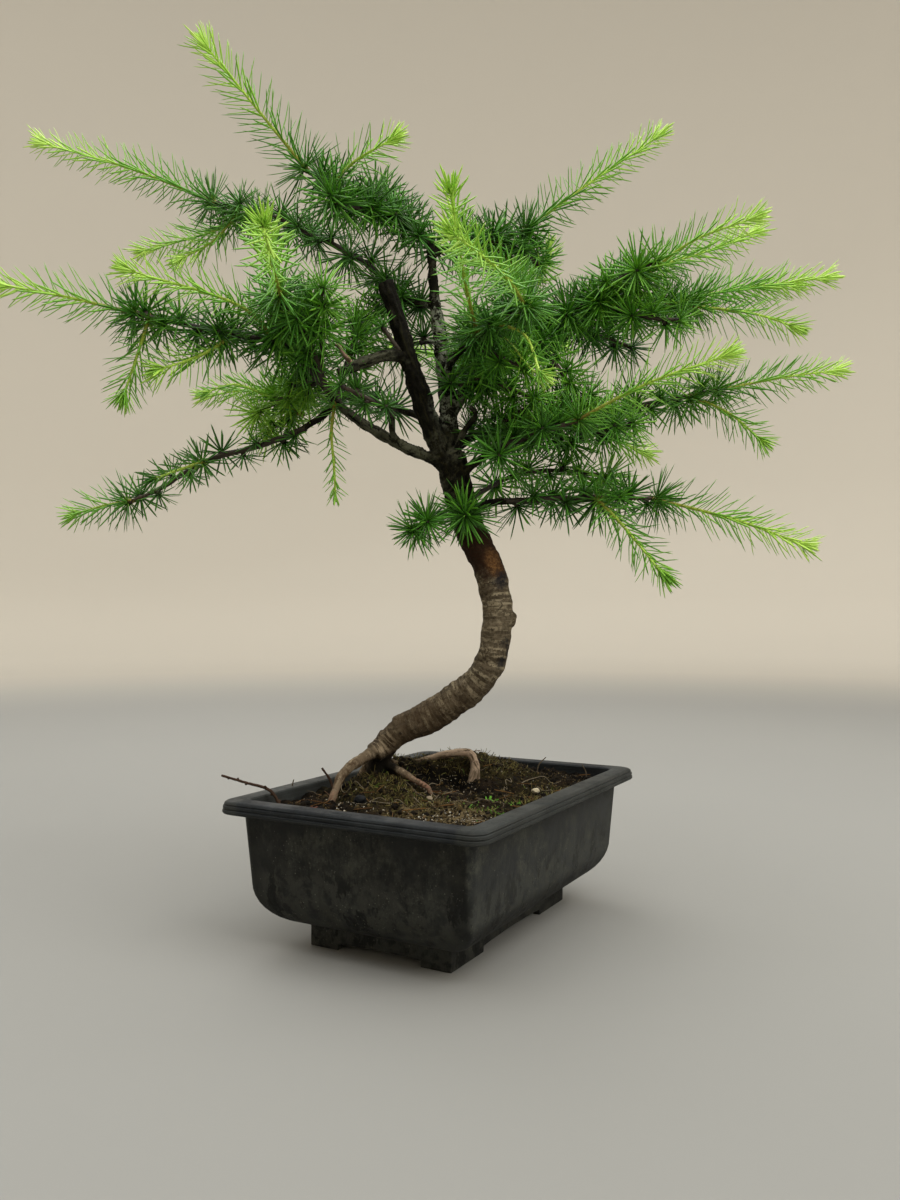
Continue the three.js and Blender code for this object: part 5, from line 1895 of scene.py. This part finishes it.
@dataclass(frozen=True)
class Twig(Spray):
    """A twig of older wood with rosettes along it, or the rosettes that sit on a limb."""

    spacing: float = 10.5
    length: float = 26.0
    needles: int = 40
    age: float = 0.1
    bare: float = 5.0

    def leaf(self, growing: Growing, order: int) -> None:
        """Sets rosettes along the twig and on its end.

        Args:
            growing: The twig as it grows.
            order: Its place among the twigs.
        """
        course, chance = growing.course, growing.chance
        rosette = Rosette(self.needles, self.length)
        marks = np.arange((self.bare + self.lead) * MM, course.length - 2 * MM, self.spacing * MM)
        marks = marks + chance.normal(0.0, 1.2 * MM, len(marks))
        for turn, mark in enumerate(marks):
            heading = course.heading(mark)
            side = unit(np.cross(UP, heading))
            angle = (turn + order) * GOLDEN_ANGLE + chance.normal(0.0, 0.25)
            axis = math.cos(angle) * np.cross(heading, side) + math.sin(angle) * side
            reach = np.interp(mark, (0.0, course.length), (self.radius, self.tip_radius)) * MM
            spot = course.at(mark) + axis * reach * 0.6
            axis = unit(axis + heading * chance.uniform(0.2, 0.6))
            youth = self.age * (0.6 + 0.8 * mark / course.length)
            rosette.grow(growing, spot, axis, youth, chance.uniform(0.8, 1.05))
        end = course.length
        rosette.grow(growing, course.at(end), course.heading(end), self.age * 1.6, 0.95)


@dataclass(frozen=True)
class LongShoot(Spray):
    """This year's growth: a thin stem with a spiral of needles that close round its tip."""

    radius: float = 1.15
    tip_radius: float = 0.6
    lead: float = 2.0
    sides: int = 8
    spacing: float = 0.79
    needle: float = 22.5
    tip_needle: float = 16.0
    oldest: float = 0.16
    youngest: float = 0.86
    brush: int = 30
    lean: Pair = (66.0, 48.0)

    SLOT = Slot.NEW_NEEDLES
    SEEDS = SEED + 300
    BUMPS = (0.9, 1.12)
    AGES = (0.0, 1.0)

    def leaf(self, growing: Growing, order: int) -> None:
        """Sets a whorl of needles at the stem's foot, a spiral along it and a brush on its tip.

        Args:
            growing: The shoot as it grows.
            order: Its place among the shoots; not used.
        """
        base = self.lead * MM
        whorl = Rosette(22, self.needle * 1.2, closest=math.radians(30))
        whorl.grow(growing, growing.course.at(base), growing.course.heading(base), 0.08, 0.95)
        self._spiral(growing)
        self._brush(growing)

    def _spiral(self, growing: Growing) -> None:
        """Sets needles in a spiral along the stem.

        Args:
            growing: The shoot as it grows.
        """
        course, chance = growing.course, growing.chance
        far = np.arange((self.lead + 1.0) * MM, course.length, self.spacing * MM)
        count = len(far)
        share = far / course.length
        headings, sides, ups = course.frames(far)
        out = around(np.arange(count) * GOLDEN_ANGLE + chance.normal(0.0, 0.25, count), sides, ups)
        first, last = np.radians(self.lean)
        lean = first + (last - first) * share - np.radians(8) * share_between(share, 0.85, 1.0)
        ways = unit(around(lean + chance.normal(0.0, 0.12, count), headings, out))
        long = self.needle + (self.tip_needle - self.needle) * share_between(share, 0.4, 1.05)
        long = long * chance.uniform(0.8, 1.08, count) * MM
        wide = NEEDLE_WIDTH * chance.uniform(0.85, 1.1, count) * MM
        ages = self.oldest + (self.youngest - self.oldest) * share**1.1 + chance.normal(0.0, 0.04, count)
        growing.needles(course.at(far) + out * 0.4 * MM, ways, headings, wide, long, ages, (0.05, 0.05))

    def _brush(self, growing: Growing) -> None:
        """Closes the youngest needles round the tip.

        Args:
            growing: The shoot as it grows.
        """
        course, chance, count = growing.course, growing.chance, self.brush
        heading = course.heading(course.length)
        across = unit(np.cross(heading, chance.normal(size=3)))
        out = around(np.arange(count) * GOLDEN_ANGLE, across, np.cross(heading, across))
        ways = unit(around(np.radians(3) + np.radians(44) * np.arange(count) / count, heading, out))
        long = np.linspace(0.75, 1.0, count) * self.tip_needle * chance.uniform(0.85, 1.1, count) * MM
        roots = course.at(course.length) - heading * (chance.uniform(1.0, 5.0, count)[:, None] * MM)
        ages = self.youngest + chance.uniform(-0.08, 0.1, count)
        growing.needles(roots, ways, out, NEEDLE_WIDTH * 0.9 * MM, long, ages, (-0.05, 0.0))


TWIGS = (
    Twig("twig_left_main", ((-80, -26, 348), (-99, -30, 366), (-142, -40, 373), (-183, -55, 379)), 2.3),
    Twig(
        "twig_low_left", ((-93, -6, 319), (-121, 6, 311), (-162, 20, 302), (-199, 30, 283), (-216, 34, 277)), 2,
        spacing=14.0, length=19.5, needles=26,
    ),
    Twig("twig_back_left", ((-31, 22, 414), (-56, 34, 441), (-100, 52, 470), (-133, 64, 488), (-169, 76, 500)), 2.2),
    Twig("twig_top", ((-47, 0, 465), (-67, -8, 472), (-88, -16, 482)), 1.9),
    Twig("twig_right", ((16, 16, 450), (30, 20, 452), (52, 28, 460)), 1.9),
    Twig("twig_right_main", ((36, 26, 374), (61, 27, 391), (102, 10, 409), (127, 2, 418)), 2.3, age=0.22),
    Twig("twig_right_fork", ((92, 15, 405), (124, 22, 407), (146, 27, 410), (167, 32, 411)), 1.8, age=0.24),
    Twig("twig_right_low", ((36, 24, 324), (82, 38, 331), (136, 46, 345), (188, 54, 357)), 2.2, age=0.2),
    Twig("twig_front_right", ((37, -20, 306), (50, -26, 310), (79, -38, 318)), 2.1),
    Twig("twig_lowest_right", ((40, -10, 272), (89, -12, 274), (133, -8, 274)), 2.1),
    Twig(
        "twig_low_small", ((-8, -15, 260), (-13, -19, 258), (-19, -23, 254)), 1.7, spacing=4.0, length=22.0, bare=3.0,
    ),
    Twig("twig_mid_left", ((-34, -30, 324), (-44, -36, 330), (-62, -42, 338)), 1.8, length=18.0, needles=30),
    Twig("twig_left_crown", ((-76, -25, 343), (-82, -40, 362), (-90, -52, 377), (-97, -62, 386)), 1.9, bare=24.0),
    Twig("twig_front", ((14, -24, 369), (28, -42, 375), (48, -58, 382)), 2),
    Twig("twig_back", ((14, 72, 379), (28, 108, 393), (42, 140, 402)), 2.1),
    Twig("twig_back_low", ((-34, 42, 342), (-70, 62, 354), (-110, 82, 363)), 2.1),
    Twig("spur_trunk", ((12, 0, 266), (12, -12, 266), (12, -18, 263)), 1.7, spacing=3.5, bare=8.0),
    Twig("spur_stub", ((-24, -8, 362), (-33, -15, 372), (-39, -18, 380)), length=12.0, needles=24, bare=30.0),
    Twig("spur_leader", ((0, 6, 348), (13, -1, 350), (22, -6, 352)), 1.6),
)
MORE_TWIGS = (
    Twig(
        "crown_inner", ((-80, -26, 348), (-76, -38, 362), (-77, -52, 377), (-73, -62, 390)), 1.7,
        spacing=6.5, bare=29, age=0.2,
    ),
    Twig(
        "crown_right", ((-68, -22, 335), (-66, -12, 354), (-61, -4, 372), (-60, -2, 387)), 1.6,
        age=0.2, bare=26, spacing=8,
    ),
    Twig("crown_left", ((-99, -31, 366), (-101, -42, 376), (-107, -52, 383)), age=0.2),
    Twig("crown_back", ((-78, -25, 345), (-91, -6, 369), (-97, 8, 392), (-94, 16, 409)), bare=16),
    Twig("shade_left", ((-80, -26, 348), (-94, -10, 347), (-108, 4, 341), (-125, 14, 334)), age=0.45, bare=15),
    Twig("shade_low", ((-78, -26, 346), (-94, 6, 346), (-105, 20, 335), (-119, 28, 325)), age=0.48, bare=20),
    Twig("behind_stub", ((-31, 22, 414), (-42, 30, 408), (-55, 36, 399))),
    Twig("behind_stub_low", ((-4, 9, 380), (-19, 20, 382), (-37, 26, 379)), 1.4, spacing=12, bare=14),
    Twig("core_up", ((13, 13, 348), (22, 0, 364), (20, -14, 376), (18, -22, 384)), 1.6, age=0.19),
    Twig("core_mid", ((36, 26, 374), (38, 12, 387), (43, 2, 401), (40, -6, 411)), 1.6, age=0.19),
    Twig("core_front", ((20, 17, 356), (29, 0, 351), (39, -16, 343), (53, -26, 336)), 1.6, age=0.19),
    Twig("core_right", ((61, 27, 391), (66, 14, 377), (72, 4, 364), (79, -4, 351)), age=0.19),
    Twig("core_near", ((14, -24, 369), (24, -30, 364), (35, -34, 358), (46, -38, 351)), age=0.19),
    Twig("core_low", ((18, 14, 318), (29, 4, 320), (41, -6, 326), (54, -12, 333)), 1.6, age=0.19),
    Twig("core_far", ((36, 24, 324), (58, 22, 327), (76, 16, 336), (93, 10, 344)), age=0.19),
    Twig("fan_front", ((26, -14, 300), (29, -24, 298), (32, -30, 298)), length=28),
    Twig(
        "shade_right", ((12, 4, 274), (50, 30, 295), (78, 34, 298), (109, 38, 295)), 1.7,
        spacing=13, bare=30, age=0.3,
    ),
    Twig("right_rise", ((78, 20, 398), (101, 4, 411), (119, -8, 420), (132, -12, 425)), age=0.22),
    Twig("right_sink", ((61, 27, 391), (87, 40, 400), (107, 46, 394), (128, 50, 388))),
    Twig("right_front", ((92, 15, 405), (113, 0, 399), (131, -8, 391), (147, -12, 388)), age=0.22),
    Twig("right_low_front", ((60, 31, 327), (87, 24, 317), (103, 16, 321), (121, 10, 325)), age=0.2),
    Twig("top_front", ((-47, 0, 465), (-64, -20, 458), (-71, -30, 460))),
    Twig("top_back", ((-30, 4, 458), (-36, 20, 474), (-47, 30, 487))),
    Twig("tip_right", ((24, 18, 451), (50, 26, 446), (61, 30, 440))),
    Twig("on_top", ((-11, 8, 445), (-23, 6, 455), (-47, 0, 465)), 2.2, bare=7, spacing=10, lead=0),
    Twig("on_back_left", ((-7, 10, 405), (-18, 15, 407), (-31, 22, 414)), 2.6, bare=12, spacing=13, lead=0),
    Twig("on_right", ((-10, 8, 437), (3, 12, 445), (16, 16, 450)), 2.2, bare=5, spacing=10, lead=0),
    Twig("on_right_main", ((1, 5, 333), (13, 13, 348), (36, 26, 374)), 3.0, bare=17, spacing=10, lead=0),
    Twig("on_right_low", ((4, 2, 307), (18, 14, 318), (36, 24, 324)), 2.9, bare=20, spacing=11, lead=0),
)

SHOOTS = (
    LongShoot("shoot_left_main", ((-183, -55, 379), (-228, -62, 388), (-258, -68, 392))),
    LongShoot("shoot_left_down", ((-178, -53, 378), (-181, -60, 359), (-188, -68, 328)), youngest=0.55),
    LongShoot("shoot_left_inner", ((-132, -37, 371), (-146, -54, 355), (-167, -70, 342)), youngest=0.75),
    LongShoot("shoot_left_mid", ((-104, -31, 367), (-121, -53, 383), (-180, -86, 395))),
    LongShoot("shoot_low_left", ((-216, 34, 277), (-238, 39, 274), (-258, 43, 269)), youngest=0.55),
    LongShoot(
        "shoot_low_left_front", ((-162, 20, 302), (-169, 2, 296), (-184, -26, 284)),
        spacing=1.1, needle=18.0, tip_needle=14.0, youngest=0.0,
    ),
    LongShoot(
        "shoot_hanging", ((-70, -22, 334), (-72, -24, 315), (-70, -26, 290), (-69, -27, 273)),
        spacing=1.2, needle=13.0, tip_needle=10.0, youngest=0.6, brush=9,
    ),
    LongShoot("shoot_back_left", ((-169, 76, 500), (-229, 90, 529), (-306, 101, 556))),
    LongShoot("shoot_back_left_low", ((-140, 67, 491), (-170, 92, 487), (-238, 126, 483))),
    LongShoot("shoot_top", ((-88, -16, 482), (-115, -28, 512), (-147, -41, 548)), needle=25.0, tip_needle=18.0),
    LongShoot("shoot_top_right", ((-73, -11, 474), (-60, -22, 484), (-33, -31, 496))),
    LongShoot("shoot_right", ((52, 28, 460), (93, 42, 495), (151, 58, 540))),
    LongShoot("shoot_right_main", ((127, 2, 418), (157, -13, 438), (193, -27, 448))),
    LongShoot("shoot_right_upper", ((116, 6, 414), (140, 28, 435), (182, 45, 453), (219, 57, 471))),
    LongShoot("shoot_right_fork", ((167, 32, 411), (207, 12, 399), (229, 3, 388))),
    LongShoot("shoot_right_far", ((150, 28, 410), (186, 39, 422), (261, 34, 431))),
    LongShoot("shoot_right_low", ((188, 54, 357), (246, 65, 370), (283, 72, 376))),
    LongShoot("shoot_right_low_drop", ((172, 51, 353), (197, 45, 340), (219, 41, 320)), youngest=0.6),
    LongShoot("shoot_right_back", ((104, 42, 337), (114, 66, 329), (149, 96, 320))),
    LongShoot("shoot_front_right", ((79, -38, 318), (120, -57, 337), (162, -75, 349))),
    LongShoot("shoot_lowest_right", ((133, -8, 274), (184, -19, 259), (223, -28, 243))),
    LongShoot("shoot_lowest_drop", ((96, -12, 274), (108, -30, 257), (130, -52, 224)), youngest=0.5),
    LongShoot("shoot_viewer", ((20, -33, 372), (12, -62, 393), (3, -138, 417)), youngest=0.74),
    LongShoot("shoot_viewer_right", ((48, -58, 382), (34, -92, 389), (4, -143, 394)), youngest=0.72),
    LongShoot(
        "shoot_viewer_low", ((32, -46, 376), (46, -66, 364), (53, -95, 334)),
        spacing=2.4, needle=10.0, tip_needle=13.0, radius=0.95, youngest=0.45, brush=10,
    ),
    LongShoot("shoot_viewer_left", ((-97, -62, 386), (-96, -100, 394), (-91, -150, 396)), youngest=0.74),
    LongShoot("shoot_back", ((42, 140, 402), (66, 172, 414), (98, 204, 428))),
    LongShoot("shoot_back_side", ((26, 106, 392), (6, 140, 402), (-42, 190, 424))),
    LongShoot("shoot_back_low", ((-110, 82, 363), (-150, 104, 369), (-187, 120, 368))),
)
MORE_SHOOTS = (
    LongShoot("tip_back", ((30, 20, 452), (62, 34, 426), (70, 40, 450))),
    LongShoot("right_between", ((150, 28, 410), (189, 38, 422), (244, 46, 430))),
    LongShoot("back_left_inner", ((-150, 69, 493), (-168, 72, 472), (-192, 66, 455))),
    LongShoot(
        "shade_tip", ((-96, 10, 332), (-141, 16, 353), (-162, 18, 348)),
        spacing=1.5, needle=17, tip_needle=10, youngest=0.6,
    ),
    LongShoot(
        "thin_front", ((20, -24, 381), (38, -40, 367), (52, -44, 349), (58, -45, 345)),
        spacing=3.4, needle=10, tip_needle=15, radius=0.9,
    ),
)


class Crown:
    """All the foliage, with the finishes that it shares."""

    OLD_STOPS = ((0.0, "2c580a"), (0.15, "42800f"), (0.35, "649f1a"), (0.6, "8cbf36"), (1.0, "b8e256"))
    NEW_STOPS = ((0.0, "3c730f"), (0.25, "5d9d1e"), (0.5, "8bc03e"), (0.75, "b4dc56"), (1.0, "d6f47e"))
    TWIG_STOPS = ((0.0, "2b2419"), (0.5, "4b3a26"), (1.0, "7a5a35"))
    SHOOT_STOPS = ((0.0, "6e5522"), (0.12, "8f822e"), (0.35, "a0b03c"), (0.7, "b0d04c"), (1.0, "c0e268"))

    def __init__(self) -> None:
        """Models the repeated shapes and makes the materials."""
        needle = Shape.spun("needle", 4, ((0.0, 0.5), (0.1, 0.9), (0.45, 1.0), (0.85, 0.8)))
        knob_rings = ((0.0, 0.9), (0.3, 1.1), (0.38, 0.95), (0.66, 1.1), (0.74, 0.9), (0.95, 0.7))
        self.shapes = Shapes(needle, Shape.spun("knob", 8, knob_rings))
        old_needles = Needles("rosette_needles", self.OLD_STOPS, "22470a", "35803f")
        new_needles = Needles("shoot_needles", self.NEW_STOPS, "b4d64e", "4f9c4c", -0.14)
        self.old = [SprayBark("twig_bark", self.TWIG_STOPS).material(), old_needles.material()]
        self.new = [SprayBark("shoot_bark", self.SHOOT_STOPS, "6d7f24", 0.3).material(), new_needles.material()]

    def build(self) -> None:
        """Builds every twig and shoot. Only the first of each kind stand for nodes of the part."""
        for own, more, skins in ((TWIGS, MORE_TWIGS, self.old), (SHOOTS, MORE_SHOOTS, self.new)):
            for order, spray in enumerate((*own, *more)):
                spray.build(order, self.shapes, skins, [spray.name] if order < len(own) else [])


# Studio ------------------------


@dataclass(frozen=True)
class Lamp:
    """A soft square lamp, placed round the plant."""

    name: str
    azimuth: float
    elevation: float
    distance: float
    size: float
    power: float
    colour: Point

    def build(self, aim: Vector) -> None:
        """Sets up the lamp.

        Args:
            aim: What it points at.
        """
        light = bpy.data.lights.new(self.name, "AREA")
        light.shape = "SQUARE"
        light.size = self.size
        light.energy = self.power
        light.color = self.colour
        lamp = linked(self.name, light)
        turn, rise = math.radians(self.azimuth), math.radians(self.elevation)
        flat = TREE.heading((math.sin(turn), -math.cos(turn), 0.0)) * math.cos(rise)
        way = Vector((flat[0], flat[1], math.sin(rise)))
        lamp.location = aim + way * self.distance
        lamp.rotation_euler = (-way).to_track_quat("-Z", "Y").to_euler()


@dataclass(frozen=True)
class Studio:
    """The pale floor that sweeps up all round, the lamps, the air and the camera."""

    camera_point: Point = (2.57, -643.5, 202.7)
    pitch: float = 0.0091
    focal_pixels: float = 986.3
    frame_height: float = 1200.0
    sensor: float = 36.0
    floor_radius: float = 2.6
    floor_border: float = 0.4
    aim_height: float = 300.0
    air: tuple[float, float, float, float] = (0.93, 0.93, 0.9, 1.0)
    air_strength: float = 0.84
    sweep: Pairs = ((0.05, 1.1), (0.2, 1.08), (0.45, 1.06), (0.8, 1.03), (2.1, 1.0))
    lamps: tuple[Lamp, ...] = (
        Lamp("sky", 10.0, 80.0, 2.2, 2.6, 54.0, (0.99, 1.0, 1.0)),
        Lamp("window", 55.0, 36.0, 2.4, 1.8, 34.0, (1.0, 0.99, 0.96)),
        Lamp("far_side", 205.0, 42.0, 2.4, 1.8, 22.0, (1.0, 0.99, 0.96)),
    )

    def _floor(self) -> None:
        """Makes the floor."""
        add = bpy.ops.mesh.primitive_circle_add
        floor = start("studio_floor", add, vertices=96, radius=self.floor_radius, fill_type="NGON")
        with editing(floor):
            bpy.ops.mesh.inset(thickness=self.floor_border)
            bpy.ops.mesh.select_all(action="SELECT")
            bpy.ops.mesh.region_to_loop()
            for rise, grow in self.sweep:
                bpy.ops.mesh.extrude_edges_move(TRANSFORM_OT_translate={"value": (0.0, 0.0, rise)})
                bpy.ops.transform.resize(value=(grow, grow, 1.0), center_override=(0.0, 0.0, 0.0))
        bpy.ops.object.shade_smooth()
        dye = Dye("studio_pale")
        place = dye.place()
        clouds = dye.noise(place, 1.5, 2.0)
        wall = dye.distance(place, np.zeros(3)).step(1.4, 3.2)
        colour = dye.mix(wall, dye.mix(clouds, "868581", "8b8a85"), "cfc8bb")
        floor.data.materials.append(dye.surface(colour, 0.85))

    def _camera(self) -> None:
        """Sets up the camera."""
        eye = bpy.data.cameras.new("eye")
        eye.sensor_width = self.sensor
        eye.lens = self.sensor * self.focal_pixels / self.frame_height
        eye.clip_start = 0.01
        camera = linked("eye", eye)
        camera.location = TREE.place(self.camera_point)
        way = Vector(TREE.heading((0.0, math.cos(self.pitch), math.sin(self.pitch))))
        camera.rotation_euler = way.to_track_quat("-Z", "Y").to_euler()
        bpy.context.scene.camera = camera

    def build(self) -> None:
        """Sets up the floor, the lamps, the air and the camera."""
        self._floor()
        aim = Vector(TREE.place((0.0, 0.0, self.aim_height)))
        for lamp in self.lamps:
            lamp.build(aim)
        world = bpy.data.worlds.new("air")
        world.use_nodes = True
        air = world.node_tree.nodes["Background"]
        air.inputs["Color"].default_value = self.air
        air.inputs["Strength"].default_value = self.air_strength
        bpy.context.scene.world = world
        bpy.context.scene.view_settings.view_transform = "Standard"
        self._camera()


def main() -> None:
    """Builds the plant and the studio."""
    logging.basicConfig(level=logging.INFO, format="%(name)s: %(message)s")
    Studio().build()
    crown = Crown()
    Pot().build(PotPlastic().material(TREE.place(SCRATCH)))
    SoilBed().build(crown.shapes.needle)
    bark = Bark().material({name: [TREE.place(point) for point in points] for name, points in MARKS.items()})
    Timber().build(bark)
    dead = Grain("dead_twig_bark", ((0.0, "1a130d"), (0.6, "3d2d22"), (1.0, "6b5a4c")), 300.0, 0.8).material()
    pale = Grain("peeled_wood", ((0.0, "5c4838"), (0.5, "8d7260"), (1.0, "b09480")), 260.0, 0.7).material()
    for twig in DRY_TWIGS:
        twig.build(crown.shapes.knob, dead, Slot.DEAD_WOOD, [twig.name])
    DEAD_SPUR.build(crown.shapes.knob, pale, Slot.BARK, [])
    for pebble in PEBBLES:
        pebble.build()
    crown.build()


if __name__ == "__main__":
    main()
